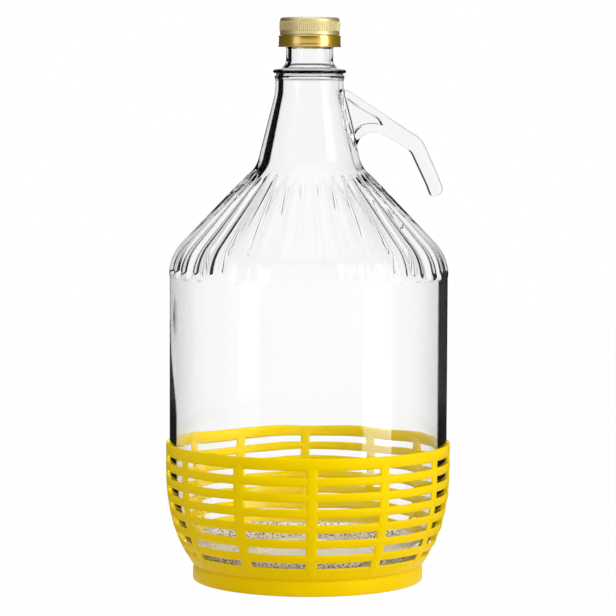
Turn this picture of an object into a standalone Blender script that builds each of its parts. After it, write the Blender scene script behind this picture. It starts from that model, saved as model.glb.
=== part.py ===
"""A five litre glass demijohn in a moulded plastic basket, closed by a screw cap.

The glass is one blown piece: a round body, a fluted conical shoulder, a tapering neck
with a carrying ring, and a hooked handle on the +X side. It stands in an open basket of
upright staves and waved bands. The closure is a knurled shell with a foam liner, over a
loose tamper band. The origin is on the bottle's axis, on the surface that the basket
stands on, and all sizes are in metres.
"""

import math

import bmesh
import bpy
from mathutils import Vector

# Clearances and finish
TOUCH_GAP = 0.0003            # between pieces that rest on each other
OVERRUN = 0.0020              # how far a cutter runs past what it cuts
SHARP_ANGLE = math.radians(32)

# Basket
FOOT_RADIUS = 0.0738
FOOT_HEIGHT = 0.0094
FOOT_WALL = 0.0018
FOOT_STEP = 0.0004            # height of the step from the foot ring to the bowl
FLOOR_UNDERSIDE = 0.0058
FLOOR_THICKNESS = 0.0022
LEDGE_INNER_RADIUS = 0.0460
HUB_RADIUS = 0.0160
HUB_BORE_RADIUS = 0.0080
BASKET_HEIGHT = 0.0883
BASKET_FIT = 0.0005           # from the glass to the corners of the basket's inner wall
BASKET_WALL = 0.0010
BOWL_TOP = 0.0700             # where the bowl has reached its full radius
BOWL_INSET = 0.0340           # half axes of the ellipse that the bowl follows
BOWL_DEPTH = 0.0680
STAVES = 12
STAVE_WIDTH = 0.0068
BASKET_TURN = math.radians(1.6)
GAP_ROWS = 7
GAP_HEIGHT = 0.0042
GAP_PITCH = 0.00972
GAP_COLUMNS = 3
RIM_BAND = 0.0076
RIM_LIP = 0.0003
RIM_LIP_HEIGHT = 0.0020
WAVE = 0.0003                 # how far a band bulges where it passes over a stave

# Glass body, its heights from the base
BODY_RADIUS = 0.0888
BODY_WALL = 0.0030
BASE_WALL = 0.0050
PUNT_RADIUS = 0.0500
PUNT_RISE = 0.0090
HEEL_INSET = 0.0310
HEEL_HEIGHT = 0.0660
SHOULDER_HEIGHT = 0.1988      # where the lines of wall and cone would meet
SHOULDER_ROUND = 0.0302
FLUTES = 36
FLUTE_CREST = 0.0005
FLUTE_DEPTH = 0.0016
FLUTE_RUN_OUT = 0.0030
FLUTE_CLEARANCE = 0.0002      # from the flutes' tops to where the neck's root starts to curve

# Glass neck and mouth, their heights from the base
NECK_RADIUS = 0.0218
NECK_WALL = 0.0040
TAPER_TOP_HEIGHT = 0.3032
NECK_ROOT_RADIUS = 0.0335     # where the lines of cone and neck would meet
NECK_ROOT_SHARE = 0.554       # its place between the shoulder and the taper's top
NECK_ROOT_ROUND = 0.0160
NECK_STRAIGHT = 0.0081        # from the taper's top to the carrying ring
RING_HEIGHT = 0.0063
RING_RADIUS = 0.02335
RING_SMALL_RADIUS = 0.0223
RING_TOP_RADIUS = 0.0228
RING_SMALL_CREST_SHARE = 0.30
RING_GROOVE_SHARE = 0.53
RING_CREST_SHARE = 0.77
FLARE_HEIGHT = 0.0060
COLLAR_RADIUS = 0.0150
COLLAR_HEIGHT = 0.0092
BEAD_RADIUS = 0.0172
BEAD_HEIGHT = 0.0022
BEAD_SLOPE_HEIGHT = 0.0010
MOUTH_RADIUS = 0.0164
BORE_RADIUS = 0.0115
LIP_ROUND = 0.0010

# Handle in the XZ plane, its heights from the top of the neck's taper
HANDLE_THICKNESS = 0.0105
HANDLE_EDGE = 0.0030
HANDLE_SINK = 0.0025          # how far its root reaches into the neck's wall
ROOT_TOP_RISE = 0.0040
ROOT_BOTTOM_DROP = 0.0378
ELBOW_REACH = 0.0731
ELBOW_DROP = 0.0300
TIP_REACH = 0.0863
TIP_DROP = 0.0658
TIP_WIDTH = 0.0092
INNER_ELBOW_REACH = 0.0630
INNER_ELBOW_DROP = 0.0351
PALM_REACH = 0.0360
PALM_DROP = 0.0227
ELBOW_ROUND = 0.0050
TIP_ROUND = 0.0034
PALM_ROUND = 0.0080
WEB_THICKNESS = 0.0030
WEB_MARGIN = 0.0044           # glass left along the arm's top, round the thin web
WEB_NECK_MARGIN = 0.0012
WEB_REACH = 0.0472
WEB_FLOOR_DROP = 0.0218
WEB_ROUND = 0.0012

# Closure
CAP_RADIUS = 0.0192
CAP_HEIGHT = 0.0112
CAP_WALL = 0.0013
CAP_TOP_WALL = 0.0011
CAP_EDGE_ROUND = 0.0012
KNURLS = 72
KNURL_DEPTH = 0.00035
KNURL_MARGIN = 0.0006         # plain stretch between the knurls and the shell's edges
LINER_RADIUS = 0.0172
LINER_THICKNESS = 0.0012
BAND_TOP_RADIUS = 0.01985
BAND_BOTTOM_RADIUS = 0.02005
BAND_HEIGHT = 0.0073
BAND_WALL = 0.0010
BAND_LIP_RADIUS = 0.0160
BAND_LIP_HEIGHT = 0.0008

# Facets round a full turn
GLASS_COLUMNS = 2 * FLUTES
BORE_COLUMNS = FLUTES
KNURL_COLUMNS = 2 * KNURLS
CAP_COLUMNS = KNURL_COLUMNS // 3
BAND_COLUMNS = 48
LINER_COLUMNS = 36

# Heights above the table, worked out from the sizes above
FLOOR_TOP = FLOOR_UNDERSIDE + FLOOR_THICKNESS
BASE = FLOOR_TOP + TOUCH_GAP
SHOULDER_CORNER = BASE + SHOULDER_HEIGHT
TAPER_TOP = BASE + TAPER_TOP_HEIGHT
NECK_ROOT = SHOULDER_CORNER + (TAPER_TOP - SHOULDER_CORNER) * NECK_ROOT_SHARE
RING_BASE = TAPER_TOP + NECK_STRAIGHT
COLLAR_BASE = RING_BASE + RING_HEIGHT + FLARE_HEIGHT
BEAD_BASE = COLLAR_BASE + COLLAR_HEIGHT
BAND_BASE = BEAD_BASE - TOUCH_GAP - BAND_LIP_HEIGHT
CAP_BASE = BAND_BASE + BAND_HEIGHT + TOUCH_GAP
CAP_TOP = CAP_BASE + CAP_HEIGHT
LINER_TOP = CAP_TOP - CAP_TOP_WALL - TOUCH_GAP
LIP_TOP = LINER_TOP - LINER_THICKNESS - TOUCH_GAP
BASKET_INNER_RADIUS = BODY_RADIUS + BASKET_FIT

# Slopes of the shoulder's cone and of the neck, from the axis
SHOULDER_ANGLE = math.atan2(BODY_RADIUS - NECK_ROOT_RADIUS, NECK_ROOT - SHOULDER_CORNER)
NECK_TAPER_ANGLE = math.atan2(NECK_ROOT_RADIUS - NECK_RADIUS, TAPER_TOP - NECK_ROOT)


def clear_scene():
    """Remove whatever the scene holds."""
    for item in list(bpy.data.objects):
        bpy.data.objects.remove(item, do_unlink=True)


def make_material(name, colour, roughness, metallic=0.0, transmission=0.0):
    """A Principled material in one colour."""
    material = bpy.data.materials.new(name)
    material.use_nodes = True
    shader = material.node_tree.nodes["Principled BSDF"]
    shader.inputs["Base Color"].default_value = (*colour, 1.0)
    shader.inputs["Roughness"].default_value = roughness
    shader.inputs["Metallic"].default_value = metallic
    shader.inputs["Transmission Weight"].default_value = transmission
    return material


def make_object(name, bm, material):
    """Turn a finished bmesh into a named object, smooth except at its sharp edges."""
    bmesh.ops.recalc_face_normals(bm, faces=bm.faces)
    mesh = bpy.data.meshes.new(name)
    bm.to_mesh(mesh)
    bm.free()
    mesh.shade_smooth()
    mesh.set_sharp_from_angle(angle=SHARP_ANGLE)
    mesh.materials.append(material)
    item = bpy.data.objects.new(name, mesh)
    bpy.context.collection.objects.link(item)
    return item


def make_guide(name, bm, material):
    """An object that only shapes another one: it is drawn as wire and isn't a piece."""
    guide = make_object(name, bm, material)
    guide.display_type = "WIRE"
    guide.hide_render = True
    return guide


def add_boolean(item, tool, operation):
    """Join or cut an object with another one."""
    modifier = item.modifiers.new(tool.name, "BOOLEAN")
    modifier.operation = operation
    modifier.solver = "EXACT"
    modifier.object = tool


def ellipse_arc(centre, half_width, half_height, start, end, steps):
    """Points along part of an ellipse, from one angle to another, in degrees."""
    points = []
    for step in range(steps + 1):
        angle = math.radians(start + (end - start) * step / steps)
        across = centre[0] + half_width * math.cos(angle)
        along = centre[1] + half_height * math.sin(angle)
        points.append((across, along))
    return points


def round_corner(before, corner, after, radius, steps):
    """Points of the arc that rounds a corner and is tangent to both its sides."""
    corner = Vector(corner)
    to_before = (Vector(before) - corner).normalized()
    to_after = (Vector(after) - corner).normalized()
    half_angle = to_before.angle(to_after) / 2
    centre = corner + (to_before + to_after).normalized() * radius / math.sin(half_angle)
    start = corner + to_before * radius / math.tan(half_angle) - centre
    turn = math.pi - 2 * half_angle
    if to_before.x * to_after.y - to_before.y * to_after.x > 0:
        turn = -turn
    points = []
    for step in range(steps + 1):
        angle = turn * step / steps
        x = start.x * math.cos(angle) - start.y * math.sin(angle)
        y = start.x * math.sin(angle) + start.y * math.cos(angle)
        points.append((centre.x + x, centre.y + y))
    return points


def rounded_outline(corners, steps):
    """A closed outline through (point, radius) corners; a radius of 0 stays sharp."""
    points = []
    for index, (corner, radius) in enumerate(corners):
        before = corners[index - 1][0]
        after = corners[(index + 1) % len(corners)][0]
        if radius:
            points += round_corner(before, corner, after, radius, steps)
        else:
            points.append(corner)
    return points


def even_angles(count):
    """Angles of evenly spaced columns round the axis."""
    return [2 * math.pi * index / count for index in range(count)]


def add_loop(bm, radii, height, angles):
    """One loop of vertices round the axis, each column with its own radius."""
    loop = []
    for radius, angle in zip(radii, angles):
        loop.append(bm.verts.new((radius * math.cos(angle), radius * math.sin(angle), height)))
    return loop


def round_loop(bm, radius, height, count):
    """A round loop of vertices, or a single one on the axis."""
    if radius == 0:
        return [bm.verts.new((0, 0, height))]
    return add_loop(bm, [radius] * count, height, even_angles(count))


def bridge(bm, first, second):
    """Fill between two loops, where one may have several times as many columns."""
    if len(first) < len(second):
        first, second = second, first
    ratio = len(first) // len(second)
    for index, vertex in enumerate(first):
        following = first[(index + 1) % len(first)]
        near = second[index // ratio]
        far = second[((index + 1) // ratio) % len(second)]
        if near is far:
            bm.faces.new((vertex, following, near))
        elif ratio == 1:
            bm.faces.new((vertex, following, far, near))
        else:
            bm.faces.new((vertex, following, near))
            bm.faces.new((following, far, near))


def skin(bm, loops):
    """Fill between each loop and the next."""
    for first, second in zip(loops, loops[1:]):
        bridge(bm, first, second)


# Bottle


def neck_radius_at(height):
    """Outer radius of the neck's taper."""
    return NECK_RADIUS + (TAPER_TOP - height) * math.tan(NECK_TAPER_ANGLE)


def shoulder_corner(wall):
    """Where the lines of body and shoulder meet, both moved in by the glass wall."""
    drop = (wall / math.cos(SHOULDER_ANGLE) - wall) / math.tan(SHOULDER_ANGLE)
    return BODY_RADIUS - wall, SHOULDER_CORNER - drop


def neck_root_corner(cone_wall, neck_wall):
    """Where the lines of shoulder and neck meet, each moved in by its glass wall."""
    cone_slope = math.tan(SHOULDER_ANGLE)
    neck_slope = math.tan(NECK_TAPER_ANGLE)
    cone_radius = BODY_RADIUS - cone_wall / math.cos(SHOULDER_ANGLE)
    neck_radius = NECK_RADIUS - neck_wall
    rise = cone_radius - neck_radius - neck_slope * (TAPER_TOP - SHOULDER_CORNER)
    height = SHOULDER_CORNER + rise / (cone_slope - neck_slope)
    return neck_radius + neck_slope * (TAPER_TOP - height), height


def cone_radius_at(height):
    """Outer radius of the shoulder's cone."""
    return BODY_RADIUS - (height - SHOULDER_CORNER) * math.tan(SHOULDER_ANGLE)


def root_curve():
    """Outside of the neck's root, from the cone to the taper."""
    corner = neck_root_corner(0, 0)
    return round_corner(shoulder_corner(0), corner, (NECK_RADIUS, TAPER_TOP), NECK_ROOT_ROUND, 3)


def fluted_path():
    """Stations of the shoulder's outside, from the body's wall to the tops of the flutes."""
    shoulder = shoulder_corner(0)
    root = neck_root_corner(0, 0)
    path = round_corner((BODY_RADIUS, BASE), shoulder, root, SHOULDER_ROUND, 6)
    top = root_curve()[0][1] - FLUTE_CLEARANCE
    for height in (top - FLUTE_RUN_OUT, top):
        path.append((cone_radius_at(height), height))
    return path


def mouth_path():
    """Outside of the glass from the neck's top to the rounded lip."""
    ring_centre = (RING_TOP_RADIUS, COLLAR_BASE)
    flare = ellipse_arc(ring_centre, RING_TOP_RADIUS - COLLAR_RADIUS, FLARE_HEIGHT, 270, 180, 4)
    return [
        (NECK_RADIUS, TAPER_TOP),
        (NECK_RADIUS, RING_BASE),
        (RING_SMALL_RADIUS, RING_BASE + RING_HEIGHT * RING_SMALL_CREST_SHARE),
        (NECK_RADIUS, RING_BASE + RING_HEIGHT * RING_GROOVE_SHARE),
        (RING_RADIUS, RING_BASE + RING_HEIGHT * RING_CREST_SHARE),
        *flare,
        (COLLAR_RADIUS, BEAD_BASE),
        (BEAD_RADIUS, BEAD_BASE),
        (BEAD_RADIUS, BEAD_BASE + BEAD_HEIGHT),
        (MOUTH_RADIUS, BEAD_BASE + BEAD_HEIGHT + BEAD_SLOPE_HEIGHT),
        (MOUTH_RADIUS, LIP_TOP - LIP_ROUND),
        (MOUTH_RADIUS - LIP_ROUND, LIP_TOP),
    ]


def glass_outside(bm):
    """Loops of the outside, from the middle of the base to the lip."""
    heel_centre = (BODY_RADIUS - HEEL_INSET, BASE + HEEL_HEIGHT)
    low = ellipse_arc((0, BASE), PUNT_RADIUS, PUNT_RISE, 90, 0, 3)
    low[0] = (0, BASE + PUNT_RISE)
    low += ellipse_arc(heel_centre, HEEL_INSET, HEEL_HEIGHT, 270, 360, 7)
    loops = [round_loop(bm, radius, height, GLASS_COLUMNS) for radius, height in low]

    fluted = fluted_path()
    for index, (radius, height) in enumerate(fluted):
        crest = valley = radius
        if 0 < index < len(fluted) - 1:
            crest = radius + FLUTE_CREST
            valley = crest - FLUTE_DEPTH
        loops.append(add_loop(bm, [crest, valley] * FLUTES, height, even_angles(GLASS_COLUMNS)))

    high = root_curve() + mouth_path()
    loops += [round_loop(bm, radius, height, GLASS_COLUMNS) for radius, height in high]
    return loops


def glass_inside(bm):
    """Loops of the inside, from the lip down to the middle of the floor."""
    shoulder = shoulder_corner(BODY_WALL)
    root = neck_root_corner(BODY_WALL, NECK_WALL)
    neck_top = (NECK_RADIUS - NECK_WALL, TAPER_TOP)
    floor = BASE + BASE_WALL
    inner_body = (BODY_RADIUS - BODY_WALL, BASE + HEEL_HEIGHT)
    heel_centre = (BODY_RADIUS - HEEL_INSET, BASE + HEEL_HEIGHT)
    heel_width = HEEL_INSET - BODY_WALL
    path = [
        (BORE_RADIUS + LIP_ROUND, LIP_TOP),
        (BORE_RADIUS, LIP_TOP - LIP_ROUND),
        (BORE_RADIUS, COLLAR_BASE),
        (NECK_RADIUS - NECK_WALL, RING_BASE),
        neck_top,
        *round_corner(neck_top, root, shoulder, NECK_ROOT_ROUND + BODY_WALL, 2),
        *round_corner(root, shoulder, inner_body, SHOULDER_ROUND - BODY_WALL, 4),
        *ellipse_arc(heel_centre, heel_width, HEEL_HEIGHT - BASE_WALL, 360, 270, 5),
        *ellipse_arc((0, floor), PUNT_RADIUS, PUNT_RISE, 0, 90, 3)[:-1],
        (0, floor + PUNT_RISE),
    ]
    return [round_loop(bm, radius, height, BORE_COLUMNS) for radius, height in path]


def prism(bm, outline, start, end):
    """A closed prism of an outline in the XZ plane, from one Y to another."""
    near = [bm.verts.new((x, start, z)) for x, z in outline]
    far = [bm.verts.new((x, end, z)) for x, z in outline]
    bm.faces.new(near)
    bm.faces.new(far)
    bridge(bm, near, far)


def handle_blank(material):
    """The handle's solid: an arm from the neck with a hooked end for the fingers."""
    root_bottom = TAPER_TOP - ROOT_BOTTOM_DROP
    tip = TAPER_TOP - TIP_DROP
    corners = [
        ((NECK_RADIUS - HANDLE_SINK, TAPER_TOP + ROOT_TOP_RISE), 0),
        ((ELBOW_REACH, TAPER_TOP - ELBOW_DROP), ELBOW_ROUND),
        ((TIP_REACH, tip), TIP_ROUND),
        ((TIP_REACH - TIP_WIDTH, tip), TIP_ROUND),
        ((INNER_ELBOW_REACH, TAPER_TOP - INNER_ELBOW_DROP), ELBOW_ROUND),
        ((PALM_REACH, TAPER_TOP - PALM_DROP), PALM_ROUND),
        ((neck_radius_at(root_bottom) - HANDLE_SINK, root_bottom), 0),
    ]
    bm = bmesh.new()
    prism(bm, rounded_outline(corners, 3), -HANDLE_THICKNESS / 2, HANDLE_THICKNESS / 2)
    rims = [edge for edge in bm.edges if edge.verts[0].co.y == edge.verts[1].co.y]
    bmesh.ops.recalc_face_normals(bm, faces=bm.faces)
    bmesh.ops.bevel(bm, geom=rims, offset=HANDLE_EDGE, segments=3, profile=0.5, affect="EDGES")
    return make_guide("handle_blank", bm, material)


def web_recesses(material):
    """The two triangular recesses that leave a thin web between arm and neck."""
    root = Vector((NECK_RADIUS - HANDLE_SINK, TAPER_TOP + ROOT_TOP_RISE))
    elbow = Vector((ELBOW_REACH, TAPER_TOP - ELBOW_DROP))
    along = (elbow - root).normalized()
    edge = root + Vector((along.y, -along.x)) * WEB_MARGIN
    slope = along.y / along.x
    tip = (WEB_REACH, edge.y + (WEB_REACH - edge.x) * slope)
    low = TAPER_TOP - WEB_FLOOR_DROP
    neck_low = (neck_radius_at(low) + WEB_NECK_MARGIN, low)
    neck_slope = math.tan(NECK_TAPER_ANGLE)
    rise = edge.y - low + (neck_low[0] - edge.x) * slope
    high = low + rise / (1 + neck_slope * slope)
    neck_high = (neck_radius_at(high) + WEB_NECK_MARGIN, high)
    outline = rounded_outline([(neck_high, WEB_ROUND), (tip, WEB_ROUND), (neck_low, WEB_ROUND)], 2)
    bm = bmesh.new()
    for side in (-1, 1):
        inner = side * WEB_THICKNESS / 2
        prism(bm, outline, inner, side * (HANDLE_THICKNESS / 2 + OVERRUN))
    return make_guide("web_recesses", bm, material)


def make_bottle(glass):
    """The bottle: a turned shell with a fluted shoulder, joined to its handle."""
    bm = bmesh.new()
    skin(bm, glass_outside(bm) + glass_inside(bm))
    bottle = make_object("bottle", bm, glass)
    handle = handle_blank(glass)
    add_boolean(handle, web_recesses(glass), "DIFFERENCE")
    add_boolean(bottle, handle, "UNION")


# Basket


def basket_columns():
    """Angles of the columns and which stretches between them are gaps."""
    stave = 2 * math.pi / STAVES
    half_width = math.asin(STAVE_WIDTH / 2 / BASKET_INNER_RADIUS)
    step = (stave - 2 * half_width) / GAP_COLUMNS
    angles = []
    for index in range(STAVES):
        start = stave * index + BASKET_TURN - half_width
        angles.append(start)
        angles += [start + 2 * half_width + step * part for part in range(GAP_COLUMNS)]
    return angles


def bowl_radius(height):
    """Inner radius of the basket's wall."""
    drop = max(0, BOWL_TOP - height) / BOWL_DEPTH
    return BASKET_INNER_RADIUS - BOWL_INSET * (1 - math.sqrt(1 - drop * drop))


def wall_heights():
    """Heights of the rim, of each gap's two edges and of the bowl's foot."""
    heights = [BASKET_HEIGHT]
    top = BASKET_HEIGHT - RIM_BAND
    for row in range(GAP_ROWS):
        heights.append(top - row * GAP_PITCH)
        heights.append(top - row * GAP_PITCH - GAP_HEIGHT)
    heights.append(FOOT_HEIGHT + FOOT_STEP)
    return heights


def waved_radii(radius, band, angles):
    """Radii round one edge of a band, which bulges over every second stave."""
    sign = -1 if band % 2 else 1
    radii = []
    for angle in angles:
        swing = math.cos((angle - BASKET_TURN) * STAVES / 2)
        radii.append(radius + WAVE * (1 + sign * swing) / 2)
    return radii


def lattice(bm, outer, inner, open_cells):
    """Two skins with the same cells, and walls round each cell that is left open."""
    count = len(outer[0])
    for row in range(len(outer) - 1):
        for column in range(count):
            following = (column + 1) % count
            cell = (row, column)
            if cell not in open_cells:
                for loops in (outer, inner):
                    near, far = loops[row], loops[row + 1]
                    bm.faces.new((near[column], near[following], far[following], far[column]))
                continue
            sides = [
                ((row - 1, column), (row, column), (row, following)),
                ((row + 1, column), (row + 1, column), (row + 1, following)),
                ((row, (column - 1) % count), (row, column), (row + 1, column)),
                ((row, following), (row, following), (row + 1, following)),
            ]
            for neighbour, start, end in sides:
                if neighbour not in open_cells:
                    corners = (outer[start[0]][start[1]], outer[end[0]][end[1]])
                    backs = (inner[end[0]][end[1]], inner[start[0]][start[1]])
                    bm.faces.new(corners + backs)


def make_basket(plastic):
    """The basket: a bowl of staves and waved bands on a foot ring, with a spoked floor."""
    bm = bmesh.new()
    angles = basket_columns()
    count = len(angles)
    per_stave = GAP_COLUMNS + 1
    heights = wall_heights()
    outer, inner = [], []
    for index, height in enumerate(heights):
        radii = waved_radii(bowl_radius(height), (index + 1) // 2, angles)
        if index == len(heights) - 1:
            radii = [bowl_radius(height)] * count
        inner.append(add_loop(bm, radii, height, angles))
        outer.append(add_loop(bm, [radius + BASKET_WALL for radius in radii], height, angles))
    gaps = set()
    for row in range(1, 2 * GAP_ROWS, 2):
        gaps |= {(row, column) for column in range(count) if column % per_stave}
    lattice(bm, outer[1:], inner[1:], {(row - 1, column) for row, column in gaps})

    rim = waved_radii(BASKET_INNER_RADIUS + BASKET_WALL, 0, angles)
    lip = [radius + RIM_LIP for radius in rim]
    lip_base = BASKET_HEIGHT - RIM_LIP_HEIGHT
    lip_loops = [
        outer[1],
        add_loop(bm, rim, lip_base - RIM_LIP, angles),
        add_loop(bm, lip, lip_base, angles),
        add_loop(bm, lip, BASKET_HEIGHT - RIM_LIP, angles),
        outer[0],
        inner[0],
        inner[1],
    ]
    skin(bm, lip_loops)

    foot_inner = FOOT_RADIUS - FOOT_WALL
    foot = [(FOOT_RADIUS, FOOT_HEIGHT), (FOOT_RADIUS, 0), (foot_inner, 0)]
    floor_radii = (LEDGE_INNER_RADIUS, HUB_RADIUS, HUB_BORE_RADIUS)
    under = [add_loop(bm, [foot_inner] * count, FLOOR_UNDERSIDE, angles)]
    over = [add_loop(bm, [bowl_radius(FLOOR_TOP)] * count, FLOOR_TOP, angles)]
    for radius in floor_radii:
        under.append(add_loop(bm, [radius] * count, FLOOR_UNDERSIDE, angles))
        over.append(add_loop(bm, [radius] * count, FLOOR_TOP, angles))
    period = 2 * per_stave
    spoke = {0, 1, period - 1}
    lattice(bm, under, over, {(1, column) for column in range(count) if column % period not in spoke})
    skin(bm, [outer[-1]] + [add_loop(bm, [r] * count, z, angles) for r, z in foot] + [under[0]])
    skin(bm, [inner[-1], over[0]])
    skin(bm, [under[-1], over[-1]])
    make_object("basket", bm, plastic)


# Closure


def make_cap_shell(gold):
    """The cap's shell: a knurled skirt under a flat top with a rounded edge."""
    bm = bmesh.new()
    plain = CAP_RADIUS - KNURL_DEPTH
    inside = CAP_RADIUS - CAP_WALL
    ceiling = CAP_TOP - CAP_TOP_WALL
    edge_centre = (plain - CAP_EDGE_ROUND, CAP_TOP - CAP_EDGE_ROUND)
    edge = ellipse_arc(edge_centre, CAP_EDGE_ROUND, CAP_EDGE_ROUND, 0, 90, 3)
    knurl_heights = (CAP_BASE + KNURL_MARGIN, CAP_TOP - CAP_EDGE_ROUND - KNURL_MARGIN)
    knurl_radii = [CAP_RADIUS, plain] * KNURLS
    knurl_angles = even_angles(KNURL_COLUMNS)
    loops = [round_loop(bm, 0, ceiling, CAP_COLUMNS)]
    for radius, height in ((inside, ceiling), (inside, CAP_BASE), (plain, CAP_BASE)):
        loops.append(round_loop(bm, radius, height, CAP_COLUMNS))
    loops += [add_loop(bm, knurl_radii, height, knurl_angles) for height in knurl_heights]
    loops += [round_loop(bm, radius, height, CAP_COLUMNS) for radius, height in edge]
    loops.append(round_loop(bm, 0, CAP_TOP, CAP_COLUMNS))
    skin(bm, loops)
    make_object("cap_shell", bm, gold)


def make_cap_liner(foam):
    """The liner: a foam disc between the cap's ceiling and the glass lip."""
    bm = bmesh.new()
    base = LINER_TOP - LINER_THICKNESS
    path = [(0, base), (LINER_RADIUS, base), (LINER_RADIUS, LINER_TOP), (0, LINER_TOP)]
    skin(bm, [round_loop(bm, radius, height, LINER_COLUMNS) for radius, height in path])
    make_object("cap_liner", bm, foam)


def make_tamper_band(gold):
    """The tamper band: a flared ring whose folded lip is caught under the glass bead."""
    bm = bmesh.new()
    band_top = BAND_BASE + BAND_HEIGHT
    lip_top = BAND_BASE + BAND_LIP_HEIGHT
    path = [
        (BAND_TOP_RADIUS, band_top),
        (BAND_BOTTOM_RADIUS, BAND_BASE),
        (BAND_LIP_RADIUS, BAND_BASE),
        (BAND_LIP_RADIUS, lip_top),
        (BAND_BOTTOM_RADIUS - BAND_WALL, lip_top),
        (BAND_TOP_RADIUS - BAND_WALL, band_top),
    ]
    loops = [round_loop(bm, radius, height, BAND_COLUMNS) for radius, height in path]
    skin(bm, loops + loops[:1])
    make_object("tamper_band", bm, gold)


def main():
    """Build the demijohn."""
    clear_scene()
    make_bottle(make_material("clear_glass", (0.94, 0.96, 0.95), 0.03, transmission=1.0))
    make_basket(make_material("yellow_plastic", (0.93, 0.62, 0.01), 0.38))
    make_cap_shell(make_material("pale_gold", (0.74, 0.60, 0.30), 0.42, metallic=0.6))
    make_cap_liner(make_material("liner_foam", (0.90, 0.90, 0.87), 0.85))
    make_tamper_band(make_material("deep_gold", (0.72, 0.50, 0.16), 0.24, metallic=0.9))


main()
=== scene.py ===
import math
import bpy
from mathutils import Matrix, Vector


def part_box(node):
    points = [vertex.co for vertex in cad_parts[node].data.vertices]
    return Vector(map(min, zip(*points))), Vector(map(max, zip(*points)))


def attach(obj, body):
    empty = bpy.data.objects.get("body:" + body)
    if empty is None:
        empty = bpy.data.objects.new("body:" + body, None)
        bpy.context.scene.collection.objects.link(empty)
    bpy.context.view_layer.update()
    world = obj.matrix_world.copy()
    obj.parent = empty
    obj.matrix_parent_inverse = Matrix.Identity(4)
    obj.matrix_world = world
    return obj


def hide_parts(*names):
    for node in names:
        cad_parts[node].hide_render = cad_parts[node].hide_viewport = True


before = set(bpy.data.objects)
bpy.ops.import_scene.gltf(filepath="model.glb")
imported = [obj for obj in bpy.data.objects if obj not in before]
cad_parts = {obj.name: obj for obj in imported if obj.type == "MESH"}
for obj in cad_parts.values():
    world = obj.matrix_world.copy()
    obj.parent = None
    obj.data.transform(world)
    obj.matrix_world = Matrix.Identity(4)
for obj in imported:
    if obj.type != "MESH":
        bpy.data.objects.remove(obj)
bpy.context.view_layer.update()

from types import SimpleNamespace

import bmesh
import bpy
from bpy.props import FloatProperty, FloatVectorProperty, IntProperty, PointerProperty
from bpy.types import Material, Node, Operator, Panel, PropertyGroup
from mathutils import Vector, noise

bl_info = {
    "name": "Glass demijohn",
    "version": (1, 0, 0),
    "blender": (4, 5, 0),
    "location": "3D View > Sidebar > Demijohn",
    "description": "Builds the glass, the basket and the closure of a five litre demijohn",
    "category": "Object",
}

BOTTLE_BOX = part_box("bottle")
BASKET_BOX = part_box("basket")
SHELL_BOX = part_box("cap_shell")
BAND_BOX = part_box("tamper_band")
FULL_TURN = 2 * math.pi
SMALLEST = 1e-5               # closer vertices than this are one vertex
RING_STEP = 0.21              # share of the ring's height that half of its lower crest takes


def length(description, default):
    """A size in metres that a user can change."""
    return FloatProperty(
        description=description, default=default, min=0.0, precision=5, unit="LENGTH"
    )


def angle(description, degrees):
    """An angle that a user can change."""
    return FloatProperty(description=description, default=math.radians(degrees), unit="ROTATION")


def number(description, default):
    """A count that a user can change."""
    return IntProperty(description=description, default=default, min=1)


def amount(description, default):
    """A plain value that a user can change."""
    return FloatProperty(description=description, default=default, min=0.0)


def colour(description, default):
    """A colour that a user can change."""
    return FloatVectorProperty(
        description=description, default=default, min=0.0, max=1.0, subtype="COLOR"
    )


def spelled(key):
    """A key as a label: body_wall becomes Body wall."""
    return key.replace("_", " ").capitalize()


def named(group):
    """Give each property of a group the name that its key spells."""
    for key, item in group.__annotations__.items():
        group.__annotations__[key] = item.function(name=spelled(key), **item.keywords)
    return group


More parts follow.
